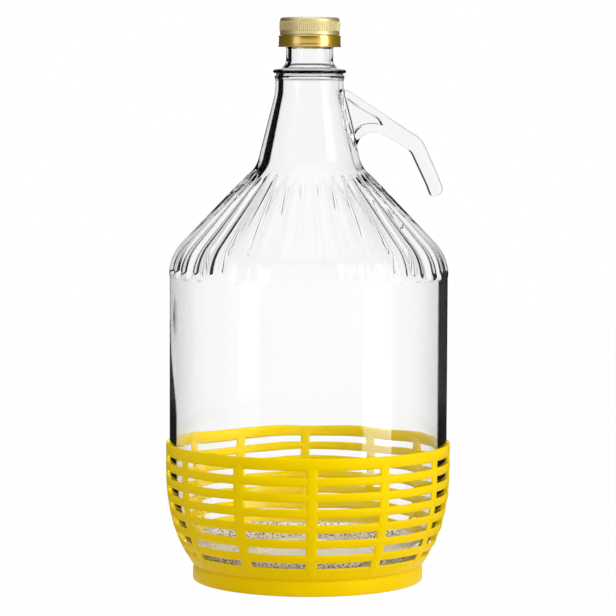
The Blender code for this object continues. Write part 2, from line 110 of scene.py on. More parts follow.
@named
class GlassSettings(PropertyGroup):
    """Sizes of the blown glass, its heights counted from its base."""

    base: length("Height of the glass base above the table", BOTTLE_BOX[0][2])
    columns: number("Facets across one flute", 8)
    body_radius: length("Outer radius of the body", 0.0888)
    body_wall: length("Thickness of the body's glass", 0.0030)
    base_wall: length("Thickness of the glass floor", 0.0050)
    punt_radius: length("Radius of the hollow under the base", 0.0500)
    punt_rise: length("Height of the hollow under the base", 0.0090)
    heel_inset: length("Width of the rounded heel", 0.0310)
    heel_height: length("Height of the rounded heel", 0.0660)
    shoulder_height: length("Where wall and cone would meet", 0.1988)
    shoulder_angle: angle("Lean of the shoulder's cone", 43.71)
    shoulder_round: length("Radius from wall to cone", 0.0302)
    flutes: number("Flutes round the shoulder", 36)
    flute_crest: length("How far a flute's crest stands proud", 0.0005)
    flute_depth: length("From a flute's crest to its valley", 0.0017)
    flute_foot: length("Height of the flutes' feet", 0.1872)
    flute_top: length("Height of the flutes' tops", 0.2532)
    flute_scallop: length("How far a crest outruns its valleys", 0.0022)
    flute_run_out: length("Length in which a flute's foot fades", 0.0022)
    flute_fade: length("Length in which a flute's top fades", 0.0100)
    neck_radius: length("Outer radius at the neck's top", 0.0218)
    neck_wall: length("Thickness of the neck's glass", 0.0040)
    taper_top: length("Height where the neck's taper ends", 0.3032)
    neck_angle: angle("Lean of the neck's taper", 14.11)
    neck_round: length("Radius from cone to neck", 0.0160)
    throat_round: length("Radius where the taper ends", 0.0300)
    ring_base: length("Height of the carrying ring's foot", 0.3113)
    ring_height: length("Height of the carrying ring", 0.0063)
    ring_radius: length("Radius of the ring's upper crest", 0.02335)
    ring_small_radius: length("Radius of its lower crest", 0.0223)
    ring_top_radius: length("Radius where the flare starts", 0.0226)
    ring_groove: length("Height of the groove in the ring", 0.0011)
    flare_height: length("Height of the flare above the ring", 0.0060)
    collar_radius: length("Radius of the straight collar", 0.0150)
    collar_height: length("Height of the straight collar", 0.0092)
    bead_radius: length("Radius of the bead under the cap", 0.0172)
    bead_height: length("Height of the bead under the cap", 0.0022)
    bead_slope: length("Height of the slope over the bead", 0.0010)
    mouth_radius: length("Outer radius of the threaded mouth", 0.0164)
    bore_radius: length("Inner radius of the mouth", 0.0115)
    lip_round: length("Radius of the lip's edges", 0.0010)
    lip_top: length("Height of the lip", BOTTLE_BOX[1][2] - BOTTLE_BOX[0][2])
    thread_pitch: length("Rise of the thread in one turn", 0.0040)
    thread_height: length("How far the thread stands proud", 0.0010)
    thread_width: length("Half the width of the thread's foot", 0.0013)
    thread_turns: amount("Turns of the thread", 1.6)
    thread_start: length("From the bead to the thread's start", 0.0022)
    thread_ramp: amount("Part of a turn in which the thread fades", 0.06)
    wall_wave: length("Unevenness of the blown wall", 0.00048)
    wave_length: length("Distance between the wall's swells", 0.0300)


@named
class HandleSettings(PropertyGroup):
    """Sizes of the glass handle."""

    depth: length("Thickness of the handle across its plane", 0.0105)
    slim_depth: length("Depth that the slimmest rod starts from", 0.0035)
    low_root: length("Height of the lower rod's foot on the neck", 0.2640)
    high_root: length("Height of the upper rod's root on the neck", 0.3075)
    pad_depth: length("Thickness of the pad inside the neck's wall", 0.0026)
    web: length("Thickness of the glass between the rods", 0.0030)
    voxel: length("Grain at which the rods are fused", 0.00060)
    smoothing: number("Passes that round the fused rods", 12)


@named
class BasketSettings(PropertyGroup):
    """Sizes of the moulded basket."""

    height: length("Height of the rim", BASKET_BOX[1][2])
    inner_radius: length("Inner radius of the wall", 0.0893)
    band_thickness: length("Thickness of a band", 0.00155)
    stave_thickness: length("Thickness of a stave", 0.00180)
    bowl_top: length("Where the bowl reaches its full radius", 0.0700)
    bowl_inset: length("Half width of the bowl's ellipse", 0.0340)
    bowl_depth: length("Half height of the bowl's ellipse", 0.0680)
    staves: number("Staves round the basket", 12)
    stave_width: length("Width of a stave", 0.0070)
    turn: angle("Turn of the basket about its axis", 1.6)
    bands: number("Free bands under the rim", 6)
    pitch: length("Distance from one band to the next", 0.00972)
    gap: length("Height of the gap between two bands", 0.0042)
    rim_height: length("Height of the rim band", 0.0076)
    wave: length("How far a band bulges over a stave", 0.00030)
    foot_radius: length("Radius of the foot ring", 0.0738)
    waist_height: length("Height of the crease over the foot", 0.0097)
    waist_depth: length("Depth of the crease over the foot", 0.0010)
    foot_wall: length("Thickness of the foot ring", 0.0018)
    foot_round: length("Radius of the foot's lower edge", 0.0009)
    floor_underside: length("Height under the floor", 0.0058)
    floor_thickness: length("Thickness of the floor", 0.0022)
    ledge_radius: length("Inner radius of the ledge", 0.0460)
    hub_radius: length("Radius of the floor's hub", 0.0160)
    hub_bore: length("Radius of the hole in the hub", 0.0080)
    spoke_angle: angle("Angle that one spoke takes", 21.4)


@named
class ClosureSettings(PropertyGroup):
    """Sizes of the screw cap's shell and of the tamper band."""

    shell_radius: length("Radius over the knurls", SHELL_BOX[1][0])
    shell_base: length("Height of the shell's lower edge", SHELL_BOX[0][2])
    shell_top: length("Height of the shell's top", SHELL_BOX[1][2])
    shell_wall: length("Thickness of the skirt", 0.0013)
    top_wall: length("Thickness of the top", 0.0011)
    edge_round: length("Radius of the top's edge", 0.0016)
    knurls: number("Knurls round the shell", 96)
    knurl_depth: length("How far a knurl stands proud", 0.00035)
    knurl_width: length("Width of a knurl", 0.00078)
    knurl_low: length("From the shell's edge to the knurls", 0.0021)
    knurl_high: length("From the knurls to the shell's top", 0.0022)
    band_radius: length("Radius of the band's lower edge", BAND_BOX[1][0])
    band_top_radius: length("Radius of the band's top", 0.01985)
    band_base: length("Height of the band's lower edge", BAND_BOX[0][2])
    band_top: length("Height of the band's top", BAND_BOX[1][2])
    band_wall: length("Thickness of the band", 0.0010)
    band_lip: length("Inner radius of the folded lip", 0.0160)
    band_lip_height: length("Height of the folded lip", 0.0008)
    band_bead: length("Radius of the beads along both edges", 0.00035)


@named
class FinishSettings(PropertyGroup):
    """Colours and finishes."""

    glass: colour("Tint of the glass", (0.988, 0.992, 0.992))
    glass_edge: amount("How light the glass is seen edge on", 0.002)
    lamp_share: amount("Share of the lamps' light that a glass surface passes", 0.93)
    edge_softness: amount("How softly the dark edges start", 0.04)
    handle_shade: amount("How light the handle is beside the body", 0.93)
    plastic: colour("Colour of the basket", (0.96, 0.67, 0.0))
    shell: colour("Colour of the cap's shell", (0.66, 0.56, 0.25))
    band: colour("Colour of the tamper band", (0.64, 0.41, 0.005))
    liner: colour("Colour of the foam liner", (0.88, 0.88, 0.85))


@named
class StageSettings(PropertyGroup):
    """Camera, lamps and floor."""

    camera_distance: length("From the axis to the camera", 1.795)
    camera_height: length("Height of the camera", 0.309)
    camera_side: FloatProperty(
        description="Camera's place across", default=-0.00095, unit="LENGTH"
    )
    camera_tilt: angle("How far the camera looks down", 4.306)
    camera_lean: angle("How far the camera leans to one side", 0.23)
    lens: FloatProperty(description="Focal length", default=164.4, unit="CAMERA")
    left_power: amount("Watts of the tall softbox on the left", 0.8)
    right_power: amount("Watts of the tall softbox on the right", 4.8)
    top_power: amount("Watts of the softbox overhead", 3.4)
    ambient: amount("Strength of the white room on matt surfaces", 0.60)
    floor_glow: amount("Share of the floor that is seen as plain white", 0.990)
    flag_level: amount("Brightness of the dark cards that metal mirrors", 0.03)
    strip_level: amount("Brightness of the strip that the glass mirrors", 20.0)
    inner_power: amount("Watts of the fill light inside the bottle", 0.030)
    floor_size: length("Width of the floor", 4.0)


# Node writing


class Value:
    """A number in a node tree, to reckon with like a plain one."""

    def __init__(self, writer, socket):
        self.writer = writer
        self.socket = socket

    def __abs__(self):
        return self.writer.math("ABSOLUTE", self)


def reckoning(operation, swapped):
    """A method that adds one Math node for two values."""
    if swapped:
        return lambda value, other: value.writer.math(operation, other, value)
    return lambda value, other: value.writer.math(operation, value, other)


SIGNS = {"add": "ADD", "sub": "SUBTRACT", "mul": "MULTIPLY", "truediv": "DIVIDE", "pow": "POWER"}
for sign, operation in SIGNS.items():
    setattr(Value, f"__{sign}__", reckoning(operation, False))
    setattr(Value, f"__r{sign}__", reckoning(operation, True))


class NodeWriter:
    """Adds nodes to a tree, sets their inputs and links them."""

    def __init__(self, tree):
        self.tree = tree

    def fill(self, node, inputs):
        """Link a node's inputs to other nodes, or give them plain values."""
        for key, value in inputs.items():
            if isinstance(value, (Value, Node)):
                source = value.socket if isinstance(value, Value) else value.outputs[0]
                self.tree.links.new(source, node.inputs[key])
            else:
                node.inputs[key].default_value = value
        return node

    def add(self, kind, inputs=None, **settings):
        """A new node with its settings and inputs."""
        node = self.tree.nodes.new(kind)
        for name, value in settings.items():
            setattr(node, name, value)
        return self.fill(node, inputs or {})

    def get(self, kind, inputs=None, output=0, **settings):
        """One output of a new node."""
        return Value(self, self.add(kind, inputs, **settings).outputs[output])

    def math(self, operation, first, second=0.0):
        """The result of one Math node."""
        return self.get("ShaderNodeMath", {0: first, 1: second}, operation=operation)

    def vector(self, x=0.0, y=0.0, z=0.0):
        """Three numbers as a vector."""
        return self.get("ShaderNodeCombineXYZ", {0: x, 1: y, 2: z})

    def parts(self, vector):
        """The three numbers of a vector."""
        node = self.add("ShaderNodeSeparateXYZ", {0: vector})
        return [Value(self, socket) for socket in node.outputs]

    def join(self, *shapes):
        """Several geometries as one."""
        node = self.add("GeometryNodeJoinGeometry")
        for shape in shapes:
            self.fill(node, {0: shape})
        return node

    def moved(self, shape, x, y, z):
        """A geometry with its points at other places."""
        place = {"Geometry": shape, "Position": self.vector(x, y, z)}
        return self.add("GeometryNodeSetPosition", place)


SOCKET_KINDS = {float: "NodeSocketFloat", int: "NodeSocketInt", Material: "NodeSocketMaterial"}


def run_tree(name, shape, values):
    """Write a geometry tree with named inputs, and keep its result as a plain mesh object."""
    tree = bpy.data.node_groups.new(name, "GeometryNodeTree")
    tree.interface.new_socket("Geometry", in_out="OUTPUT", socket_type="NodeSocketGeometry")
    for key, value in values.items():
        kind = SOCKET_KINDS[type(value)]
        tree.interface.new_socket(spelled(key), in_out="INPUT", socket_type=kind)
    w = NodeWriter(tree)
    outputs = w.add("NodeGroupInput").outputs
    inputs = SimpleNamespace(**{key: Value(w, outputs[spelled(key)]) for key in values})
    real = w.add("GeometryNodeRealizeInstances", {0: shape(w, inputs)})
    merged = w.add("GeometryNodeMergeByDistance", {0: real, "Distance": SMALLEST})
    smooth = w.add("GeometryNodeSetShadeSmooth", {0: merged})
    painted = w.add("GeometryNodeSetMaterial", {0: smooth, "Material": inputs.material})
    w.add("NodeGroupOutput", {0: painted})

    item = new_object(name, bpy.data.meshes.new(name))
    modifier = item.modifiers.new("Recipe", "NODES")
    modifier.node_group = tree
    labelled = {spelled(key): value for key, value in values.items()}
    for socket in tree.interface.items_tree:
        if socket.in_out == "INPUT":
            modifier[socket.identifier] = labelled[socket.name]
    return plain(item)


def plain(item):
    """Put an object's evaluated mesh in place of its modifiers."""
    depsgraph = bpy.context.evaluated_depsgraph_get()
    mesh = bpy.data.meshes.new_from_object(item.evaluated_get(depsgraph))
    item.modifiers.clear()
    item.data = mesh
    return item


def new_object(name, data):
    """A mesh, a lamp or a camera as an object in the scene."""
    item = bpy.data.objects.new(name, data)
    bpy.context.collection.objects.link(item)
    return item


def from_bmesh(name, bm, material, sharp=math.radians(40)):
    """A finished bmesh as an object with one material, smooth except at its sharp edges."""
    bmesh.ops.recalc_face_normals(bm, faces=bm.faces)
    mesh = bpy.data.meshes.new(name)
    bm.to_mesh(mesh)
    bm.free()
    mesh.shade_smooth()
    mesh.set_sharp_from_angle(angle=sharp)
    mesh.materials.append(material)
    return new_object(name, mesh)


# Outlines


def polar(radius, around, height):
    """A place by its distance from the axis, its angle and its height."""
    return radius * math.cos(around), radius * math.sin(around), height


def arc(centre, width, height, start, end, steps):
    """Points along part of an ellipse, from one angle to another, in degrees."""
    points = []
    for step in range(steps + 1):
        turn = math.radians(start + (end - start) * step / steps)
        points.append((centre[0] + width * math.cos(turn), centre[1] + height * math.sin(turn)))
    return points


def fillet(before, corner, after, radius, steps):
    """Points of the arc that rounds a corner and is tangent to both its sides."""
    corner = Vector(corner)
    first = (Vector(before) - corner).normalized()
    last = (Vector(after) - corner).normalized()
    half = first.angle(last) / 2
    centre = corner + (first + last).normalized() * radius / math.sin(half)
    start = corner + first * radius / math.tan(half) - centre
    turn = math.pi - 2 * half
    if first.x * last.y - first.y * last.x > 0:
        turn = -turn
    points = []
    for step in range(steps + 1):
        part = turn * step / steps
        x = start.x * math.cos(part) - start.y * math.sin(part)
        y = start.x * math.sin(part) + start.y * math.cos(part)
        points.append((centre.x + x, centre.y + y))
    return points


def finer(path, spacing):
    """The same outline with points no further apart than the spacing."""
    points = [path[0]]
    for (x0, y0), (x1, y1) in zip(path, path[1:]):
        steps = max(1, math.ceil(math.hypot(x1 - x0, y1 - y0) / spacing))
        for step in range(1, steps + 1):
            share = step / steps
            points.append((x0 + (x1 - x0) * share, y0 + (y1 - y0) * share))
    return points


def rolling(value):
    """A smooth step from 0 to 1."""
    value = min(1.0, max(0.0, value))
    return value * value * (3 - 2 * value)


def skin(bm, rows, round_rows=True, close=False):
    """Faces between rows of vertices; a closed skin joins its last row to the first."""
    for low, high in zip(rows, rows[1:] + rows[:1] if close else rows[1:]):
        for place in range(len(low) if round_rows else len(low) - 1):
            following = (place + 1) % len(low)
            corners = [low[place], low[following], high[following], high[place]]
            bm.faces.new(list(dict.fromkeys(corners)))


def turned(bm, path, columns, radius_at=None, close=False):
    """Turn an outline round the axis; a point on the axis becomes a pole."""
    rings = []
    for radius, height in path:
        if radius < SMALLEST:
            rings.append([bm.verts.new((0, 0, height))] * columns)
            continue
        ring = []
        for column in range(columns):
            around = FULL_TURN * column / columns
            here = radius_at(radius, height, around) if radius_at else radius
            ring.append(bm.verts.new(polar(here, around, height)))
        rings.append(ring)
    skin(bm, rings, close=close)
    return rings


def curved_rows(bm, corners, start, end, steps):
    """A row of vertices for each radius and height, between two angles about the axis."""
    rows = []
    for radius, height in corners:
        turns = (start + (end - start) * step / steps for step in range(steps + 1))
        rows.append([bm.verts.new(polar(radius, turn, height)) for turn in turns])
    return rows


def add_bar(bm, corners, start, end, steps):
    """A closed bar that follows part of a turn; its section has the corners."""
    rows = curved_rows(bm, corners, start, end, steps)
    skin(bm, rows, round_rows=False, close=True)
    for place in (0, -1):
        bm.faces.new([row[place] for row in rows])


# Glass


RING_GROOVE_DEPTH = 0.0005
FLUTE_SHARPNESS = 1.7         # above 1 a flute's crest is sharper than its valley is
THREAD_FLANK = 1.4            # above 1 the thread's top is flat and its flanks are steep
WAVE_SQUASH = 0.7             # below 1 the wall's swells are taller than wide
CALM_HEIGHT = 0.05            # the wall is even at the mouth, and fully uneven this far below
CALM_RADIUS = 0.04            # and fully uneven where the bottle is at least this wide
BORE_RUN, BORE_ROUND = 0.002, 0.006         # how far the bore reaches down, and its rounding
# How far apart the points of the glass outlines are
SPACING = {
    "wall": 0.012, "flute feet": 0.0006, "cone": 0.0030, "flute tops": 0.0010, "neck": 0.0060,
    "thread": 0.00045, "throat inside": 0.010, "wall inside": 0.009,
}


def collar_foot(g):
    """Height where the flare over the carrying ring ends and the straight collar starts."""
    return g.base + g.ring_base + g.ring_height + g.flare_height


def bead_top(g):
    """Height of the top of the bead for the tamper band."""
    return collar_foot(g) + g.collar_height + g.bead_height


def shoulder_corner(g, wall):
    """Where the lines of body and shoulder meet, both moved in by a wall."""
    slope = math.tan(g.shoulder_angle)
    drop = (wall / math.cos(g.shoulder_angle) - wall) / slope
    return g.body_radius - wall, g.base + g.shoulder_height - drop


def neck_corner(g, cone_wall, neck_wall):
    """Where the lines of shoulder and neck meet, each moved in by its wall."""
    cone_slope = math.tan(g.shoulder_angle)
    neck_slope = math.tan(g.neck_angle)
    cone = g.body_radius - cone_wall / math.cos(g.shoulder_angle)
    neck = g.neck_radius - neck_wall
    rise = cone - neck - neck_slope * (g.taper_top - g.shoulder_height)
    above = rise / (cone_slope - neck_slope)
    return cone - cone_slope * above, g.base + g.shoulder_height + above


def ring_outline(g):
    """The carrying ring: a small crest, a deep groove and a larger crest."""
    low = g.base + g.ring_base
    high = low + g.ring_height
    step = g.ring_height * RING_STEP
    lower = arc((g.neck_radius, low + step), g.ring_small_radius - g.neck_radius, step, -90, 90, 8)
    half_groove = g.ring_groove / 2
    groove_top = low + 2 * step + g.ring_groove
    middle = (g.neck_radius, groove_top - half_groove)
    groove = arc(middle, -RING_GROOVE_DEPTH, half_groove, -90, 90, 6)
    half = (high - groove_top) / 2
    crest = (g.neck_radius, groove_top + half)
    upper = arc(crest, g.ring_radius - g.neck_radius, half, -90, 62, 12)
    return lower + groove[1:] + upper[1:] + [(g.ring_top_radius, high)]


def glass_outside(g):
    """The outside of the glass, from the middle of the base to the lip."""
    base = g.base
    shoulder = shoulder_corner(g, 0)
    root = neck_corner(g, 0, 0)
    neck_top = (g.neck_radius, base + g.taper_top)
    heel = (g.body_radius - g.heel_inset, base + g.heel_height)
    collar_base = collar_foot(g)
    bead_base = collar_base + g.collar_height
    lip = base + g.lip_top
    low = [(0, base + g.punt_rise)] + arc((0, base), g.punt_radius, g.punt_rise, 84, 0, 10)
    low += arc(heel, g.heel_inset, g.heel_height, 270, 360, 24)
    rounding = fillet((g.body_radius, base), shoulder, root, g.shoulder_round, 16)
    wall_top = (g.body_radius, base + g.flute_foot - g.flute_run_out)
    low += finer([low[-1], wall_top], SPACING["wall"])[1:]
    low += finer([wall_top, rounding[0]], SPACING["flute feet"])[1:]
    cone_top = fillet(shoulder, root, neck_top, g.neck_round, 10)
    fade_height = base + g.flute_top - g.flute_fade
    fade_radius = g.body_radius - (fade_height - shoulder[1]) * math.tan(g.shoulder_angle)
    fade = (fade_radius, fade_height)
    middle = finer(rounding + [fade], SPACING["cone"])
    middle += finer([fade, cone_top[0]], SPACING["flute tops"])[1:]
    ring_foot = (g.neck_radius, base + g.ring_base)
    neck_end = fillet(cone_top[-1], neck_top, ring_foot, g.throat_round, 6)
    neck = finer([cone_top[-1], neck_end[0]], SPACING["neck"])[1:] + neck_end[1:]
    flare_centre = (g.ring_top_radius, collar_base)
    flare = arc(flare_centre, g.ring_top_radius - g.collar_radius, g.flare_height, 270, 180, 8)
    half_bead = g.bead_height / 2
    bead = arc((g.bead_radius - half_bead, bead_base + half_bead), half_bead, half_bead, -90, 70, 6)
    mouth_foot = (g.mouth_radius, bead_base + g.bead_height + g.bead_slope)
    mouth = finer([mouth_foot, (g.mouth_radius, lip - g.lip_round)], SPACING["thread"])
    edge_centre = (g.mouth_radius - g.lip_round, lip - g.lip_round)
    edge = arc(edge_centre, g.lip_round, g.lip_round, 15, 90, 4)
    collar = [(g.collar_radius, bead_base)]
    return (
        low + middle[1:] + cone_top[1:] + neck + ring_outline(g) + flare[1:]
        + collar + bead + mouth + edge
    )


def glass_inside(g):
    """The inside of the glass, from the lip down to the middle of the floor."""
    base = g.base
    shoulder = shoulder_corner(g, g.body_wall)
    root = neck_corner(g, g.body_wall, g.neck_wall)
    neck_top = (g.neck_radius - g.neck_wall, base + g.taper_top)
    lip = base + g.lip_top
    floor = base + g.base_wall
    heel = (g.body_radius - g.heel_inset, base + g.heel_height)
    wall_top = (g.body_radius - g.body_wall, base + g.heel_height)
    edge_centre = (g.bore_radius + g.lip_round, lip - g.lip_round)
    edge = arc(edge_centre, g.lip_round, g.lip_round, 90, 180, 4)
    ring_inside = (neck_top[0], base + g.ring_base)
    throat = [(g.bore_radius, collar_foot(g) + BORE_RUN)]
    throat += fillet(throat[0], ring_inside, neck_top, BORE_ROUND, 5)
    throat += fillet(ring_inside, neck_top, root, g.throat_round, 5)
    root_round = fillet(neck_top, root, shoulder, g.neck_round + g.body_wall, 8)
    shoulder_round = fillet(root, shoulder, wall_top, g.shoulder_round - g.body_wall, 12)
    heel_width = g.heel_inset - g.body_wall
    heel_round = arc(heel, heel_width, g.heel_height - g.base_wall, 360, 270, 20)
    hollow = arc((0, floor), g.punt_radius, g.punt_rise, 0, 84, 10)
    path = edge + finer([edge[-1]] + throat, SPACING["throat inside"])[1:]
    wall = throat[-1:] + root_round + shoulder_round + heel_round[:1]
    path += finer(wall, SPACING["wall inside"])[1:]
    return path + heel_round[1:] + hollow + [(0, floor + g.punt_rise)]


def flute_relief(g, height, around):
    """How far the fluted shoulder stands out from its plain cone."""
    turn = around * g.flutes / FULL_TURN
    off_crest = 2 * abs(turn - round(turn))
    reach = g.flute_scallop * (1 - off_crest * off_crest)
    above = height - (g.base + g.flute_foot - reach)
    below = g.base + g.flute_top + reach - height
    share = rolling(above / g.flute_run_out) * rolling(below / g.flute_fade)
    return share * (g.flute_crest - g.flute_depth * off_crest ** FLUTE_SHARPNESS)


def thread_relief(g, height, around):
    """How far the neck's thread stands out at a place on the mouth."""
    turns = around / FULL_TURN
    offset = (height - bead_top(g) - g.thread_start) / g.thread_pitch - turns
    along = turns + round(offset)
    across = abs(offset - round(offset)) * g.thread_pitch / g.thread_width
    ramp = min(along, g.thread_turns - along) / g.thread_ramp
    if across >= 1 or ramp <= 0:
        return 0.0
    return g.thread_height * rolling(ramp) * rolling((1 - across) * THREAD_FLANK)


def make_glass_shell(g, material):
    """The turned glass: an uneven blown wall with a fluted shoulder and a thread."""
    split = g.base + g.flute_foot - g.flute_scallop - g.flute_run_out
    mouth = g.base + g.lip_top
    thread_foot = bead_top(g)

    def outer_radius(radius, height, around):
        """Radius of the outside with its flutes and thread."""
        if height > thread_foot and radius > g.mouth_radius - SMALLEST:
            return radius + thread_relief(g, height, around)
        if height > split:
            return radius + flute_relief(g, height, around)
        return radius

    def inner_radius(radius, height, around):
        """Radius of the inside, which the blowing left a little uneven, less so at the neck."""
        place = Vector(polar(radius, around, height * WAVE_SQUASH))
        calm = rolling((mouth - height) / CALM_HEIGHT) * rolling(radius / CALM_RADIUS)
        return radius - g.wall_wave * calm * (1 + noise.noise(place / g.wave_length))

    columns = g.columns * g.flutes
    bm = bmesh.new()
    inside = bm.verts.layers.float.new("inside")
    outer = turned(bm, glass_outside(g), columns, outer_radius)
    inner = turned(bm, glass_inside(g), columns, inner_radius)
    for ring in inner:
        for vertex in ring:
            vertex[inside] = 1.0
    skin(bm, [outer[-1], inner[0]])
    return from_bmesh("glass_bottle", bm, material, math.radians(60))


TENTH = 10000                 # tenths of a millimetre in a metre
# Upper and lower edge of the handle's arm, from the neck to the tip of its hook: the reach
# from the bottle's axis and the height above the glass base, in tenths of a millimetre
ARM = (
    (230, 3056, 206, 3014), (286, 3021, 258, 2976), (346, 2981, 319, 2937),
    (409, 2942, 381, 2902), (464, 2905, 434, 2866), (509, 2875, 465, 2818),
    (550, 2847, 493, 2752), (594, 2818, 540, 2723), (643, 2786, 590, 2693),
    (688, 2757, 625, 2669), (717, 2731, 644, 2650), (744, 2682, 661, 2617),
    (768, 2629, 680, 2576), (792, 2576, 703, 2528), (814, 2526, 725, 2481),
    (835, 2476, 745, 2438), (852, 2428, 758, 2401), (847, 2397, 769, 2380),
    (822, 2376, 788, 2369),
)

# The same of the lower rod, from its foot on the neck to where it joins the arm
PALM = (
    (243, 2715, 263, 2640), (282, 2758, 305, 2697), (297, 2792, 321, 2735),
    (323, 2815, 343, 2755), (358, 2829, 370, 2768), (409, 2832, 411, 2777),
    (450, 2827, 446, 2770), (483, 2818, 478, 2757), (522, 2802, 512, 2742),
)

# Corners of the thin glass between them
WEB = (
    (205, 3030), (470, 2850), (470, 2805), (360, 2800), (310, 2770), (270, 2715),
)
HOOK_START = 9                # pair of the arm's edges at which the inside of the hook starts
PAD_SINK = 0.0003             # how far the pad's outer face lies inside the neck's
PAD_BELOW, PAD_ABOVE = 0.006, 0.002         # how far the pad reaches past the roots
PAD_HALF_TURN = math.radians(24)
ROD_BLUNTNESS = 0.8           # below 1 a rod's section is blunter than an oval
ROD_GROWTH = 0.9              # how much deeper a rod is where it is wider
FLAT_SIDE = 0.96              # normals with more than this across the handle's plane are flat
NEARBY = 0.0012               # how far before a surface its surroundings are looked at


def bend(edges, steps):
    """A smooth curve through pairs of points, in metres."""
    points = [Vector([part / TENTH for part in pair]) for pair in edges]
    ends = [points[0]] + points + [points[-1]]
    curve = []
    for index in range(1, len(ends) - 2):
        p0, p1, p2, p3 = ends[index - 1:index + 3]
        for step in range(steps):
            t = step / steps
            straight = 2 * p1 + (p2 - p0) * t
            bent = (2 * p0 - 5 * p1 + 4 * p2 - p3) * t * t + (3 * p1 - p0 - 3 * p2 + p3) * t * t * t
            curve.append((straight + bent) / 2)
    return curve + [points[-1]]


def blunted(part):
    """A sine or cosine that makes an oval of a circle, with blunter corners."""
    return math.copysign(abs(part) ** ROD_BLUNTNESS, part)


def rod(bm, edges, base, slim_depth, most_depth, sides=20):
    """A closed rod between two edges in the XZ plane, with a blunt oval section."""
    rings = []
    for x0, z0, x1, z1 in bend(edges, 4):
        depth = min(most_depth, slim_depth + math.hypot(x0 - x1, z0 - z1) * ROD_GROWTH)
        ring = []
        for side in range(sides):
            turn = FULL_TURN * side / sides
            out, deep = blunted(math.cos(turn)), blunted(math.sin(turn))
            x = (x0 + x1) / 2 + (x0 - x1) / 2 * out
            z = (z0 + z1) / 2 + (z0 - z1) / 2 * out
            ring.append(bm.verts.new((x, depth / 2 * deep, base + z)))
        rings.append(ring)
    skin(bm, rings)
    bm.faces.new(rings[0])
    bm.faces.new(rings[-1])


def add_neck_pad(bm, g, h):
    """A slab inside the neck's wall that the handle's roots grow out of."""
    slope = math.tan(g.neck_angle)
    outer = []
    for height in (h.low_root - PAD_BELOW, g.taper_top, h.high_root + PAD_ABOVE):
        neck = g.neck_radius + max(0.0, g.taper_top - height) * slope
        outer.append((neck - PAD_SINK, g.base + height))
    inner = [(radius - h.pad_depth, height) for radius, height in reversed(outer)]
    add_bar(bm, outer + inner, -PAD_HALF_TURN, PAD_HALF_TURN, 10)


def make_handle(g, h, material):
    """The handle: an upper and a lower rod that join in an arm with a hooked end."""
    bm = bmesh.new()
    for edges in (ARM, PALM):
        rod(bm, edges, g.base, h.slim_depth, h.depth)
    near, far = [], []
    for x, z in WEB:
        near.append(bm.verts.new((x / TENTH, -h.web / 2, g.base + z / TENTH)))
        far.append(bm.verts.new((x / TENTH, h.web / 2, g.base + z / TENTH)))
    skin(bm, [near, far])
    bm.faces.new(near)
    bm.faces.new(far)
    add_neck_pad(bm, g, h)
    handle = from_bmesh("handle", bm, material)
    fuse = handle.modifiers.new("Fuse", "REMESH")
    fuse.mode = "VOXEL"
    fuse.voxel_size = h.voxel
    smooth = handle.modifiers.new("Round", "SMOOTH")
    smooth.factor = 0.5
    smooth.iterations = h.smoothing
    return plain(handle)


def inside_outline(place, outline):
    """Whether a point lies inside a closed outline."""
    x, z = place
    inside = False
    for (x0, z0), (x1, z1) in zip(outline, outline[1:] + outline[:1]):
        if (z0 > z) != (z1 > z) and x < x0 + (x1 - x0) * (z - z0) / (z1 - z0):
            inside = not inside
    return inside


def mark_dark_edges(mesh, base):
    """Note where the handle gets a painted dark line: round the web and inside the hook."""
    window = [(x / TENTH, z / TENTH) for _, _, x, z in ARM[:6]]
    window += [(x / TENTH, z / TENTH) for x, z, _, _ in reversed(PALM[:8])]
    hook_x, hook_z = (part / TENTH for part in ARM[HOOK_START][2:])
    shades = mesh.attributes.new("dark_edge", "FLOAT", "POINT")
    faces = (face for face in mesh.polygons if face.material_index == 1)
    for index in {index for face in faces for index in face.vertices}:
        vertex = mesh.vertices[index]
        normal = vertex.normal
        x, z = vertex.co.x, vertex.co.z - base
        if abs(normal.y) > FLAT_SIDE:
            continue
        if inside_outline((x + normal.x * NEARBY, z + normal.z * NEARBY), window):
            shades.data[index].value = 1.10
        elif normal.x < -0.5 and z < hook_z and x > hook_x - 0.001:
            shades.data[index].value = 1.0


def fuse_handle(bottle, handle, base):
    """Join the handle to the bottle as one solid."""
    union = bottle.modifiers.new("Handle", "BOOLEAN")
    union.operation = "UNION"
    union.solver = "EXACT"
    union.material_mode = "TRANSFER"
    union.object = handle
    plain(bottle)
    bpy.data.objects.remove(handle, do_unlink=True)
    bottle.data.shade_smooth()
    bottle.data.set_sharp_from_angle(angle=math.radians(60))
    mark_dark_edges(bottle.data, base)


# Basket


CAGE_SIZES = (
    "inner_radius", "bowl_top", "bowl_inset", "bowl_depth", "height", "rim_height", "gap",
    "pitch", "bands", "staves", "stave_width", "band_thickness", "stave_thickness", "wave", "turn",
)
RIM_SWELL = 1.12              # how much thicker the rim is than a band
STAVE_END = 0.02              # share of a stave's length in which its end closes
STAVE_BLUNTNESS = 0.75        # below 1 a stave's section is blunter than an oval
FOOT_STEPS = 8
FOOT_SWELL = 0.0009           # how much thicker the solid wall gets on its way down
WAIST_EDGE = 0.0008           # from the end of the solid wall to the crease over the foot
TOP_BEVEL = (0.35, 0.0002)    # share of the solid wall's thickness, and height
FLARE_DROP, FLARE_TALL = 0.0042, 0.0038     # from the crease down to the foot's full radius
OVERLAP = 0.0001              # how far shapes of one moulding reach into each other


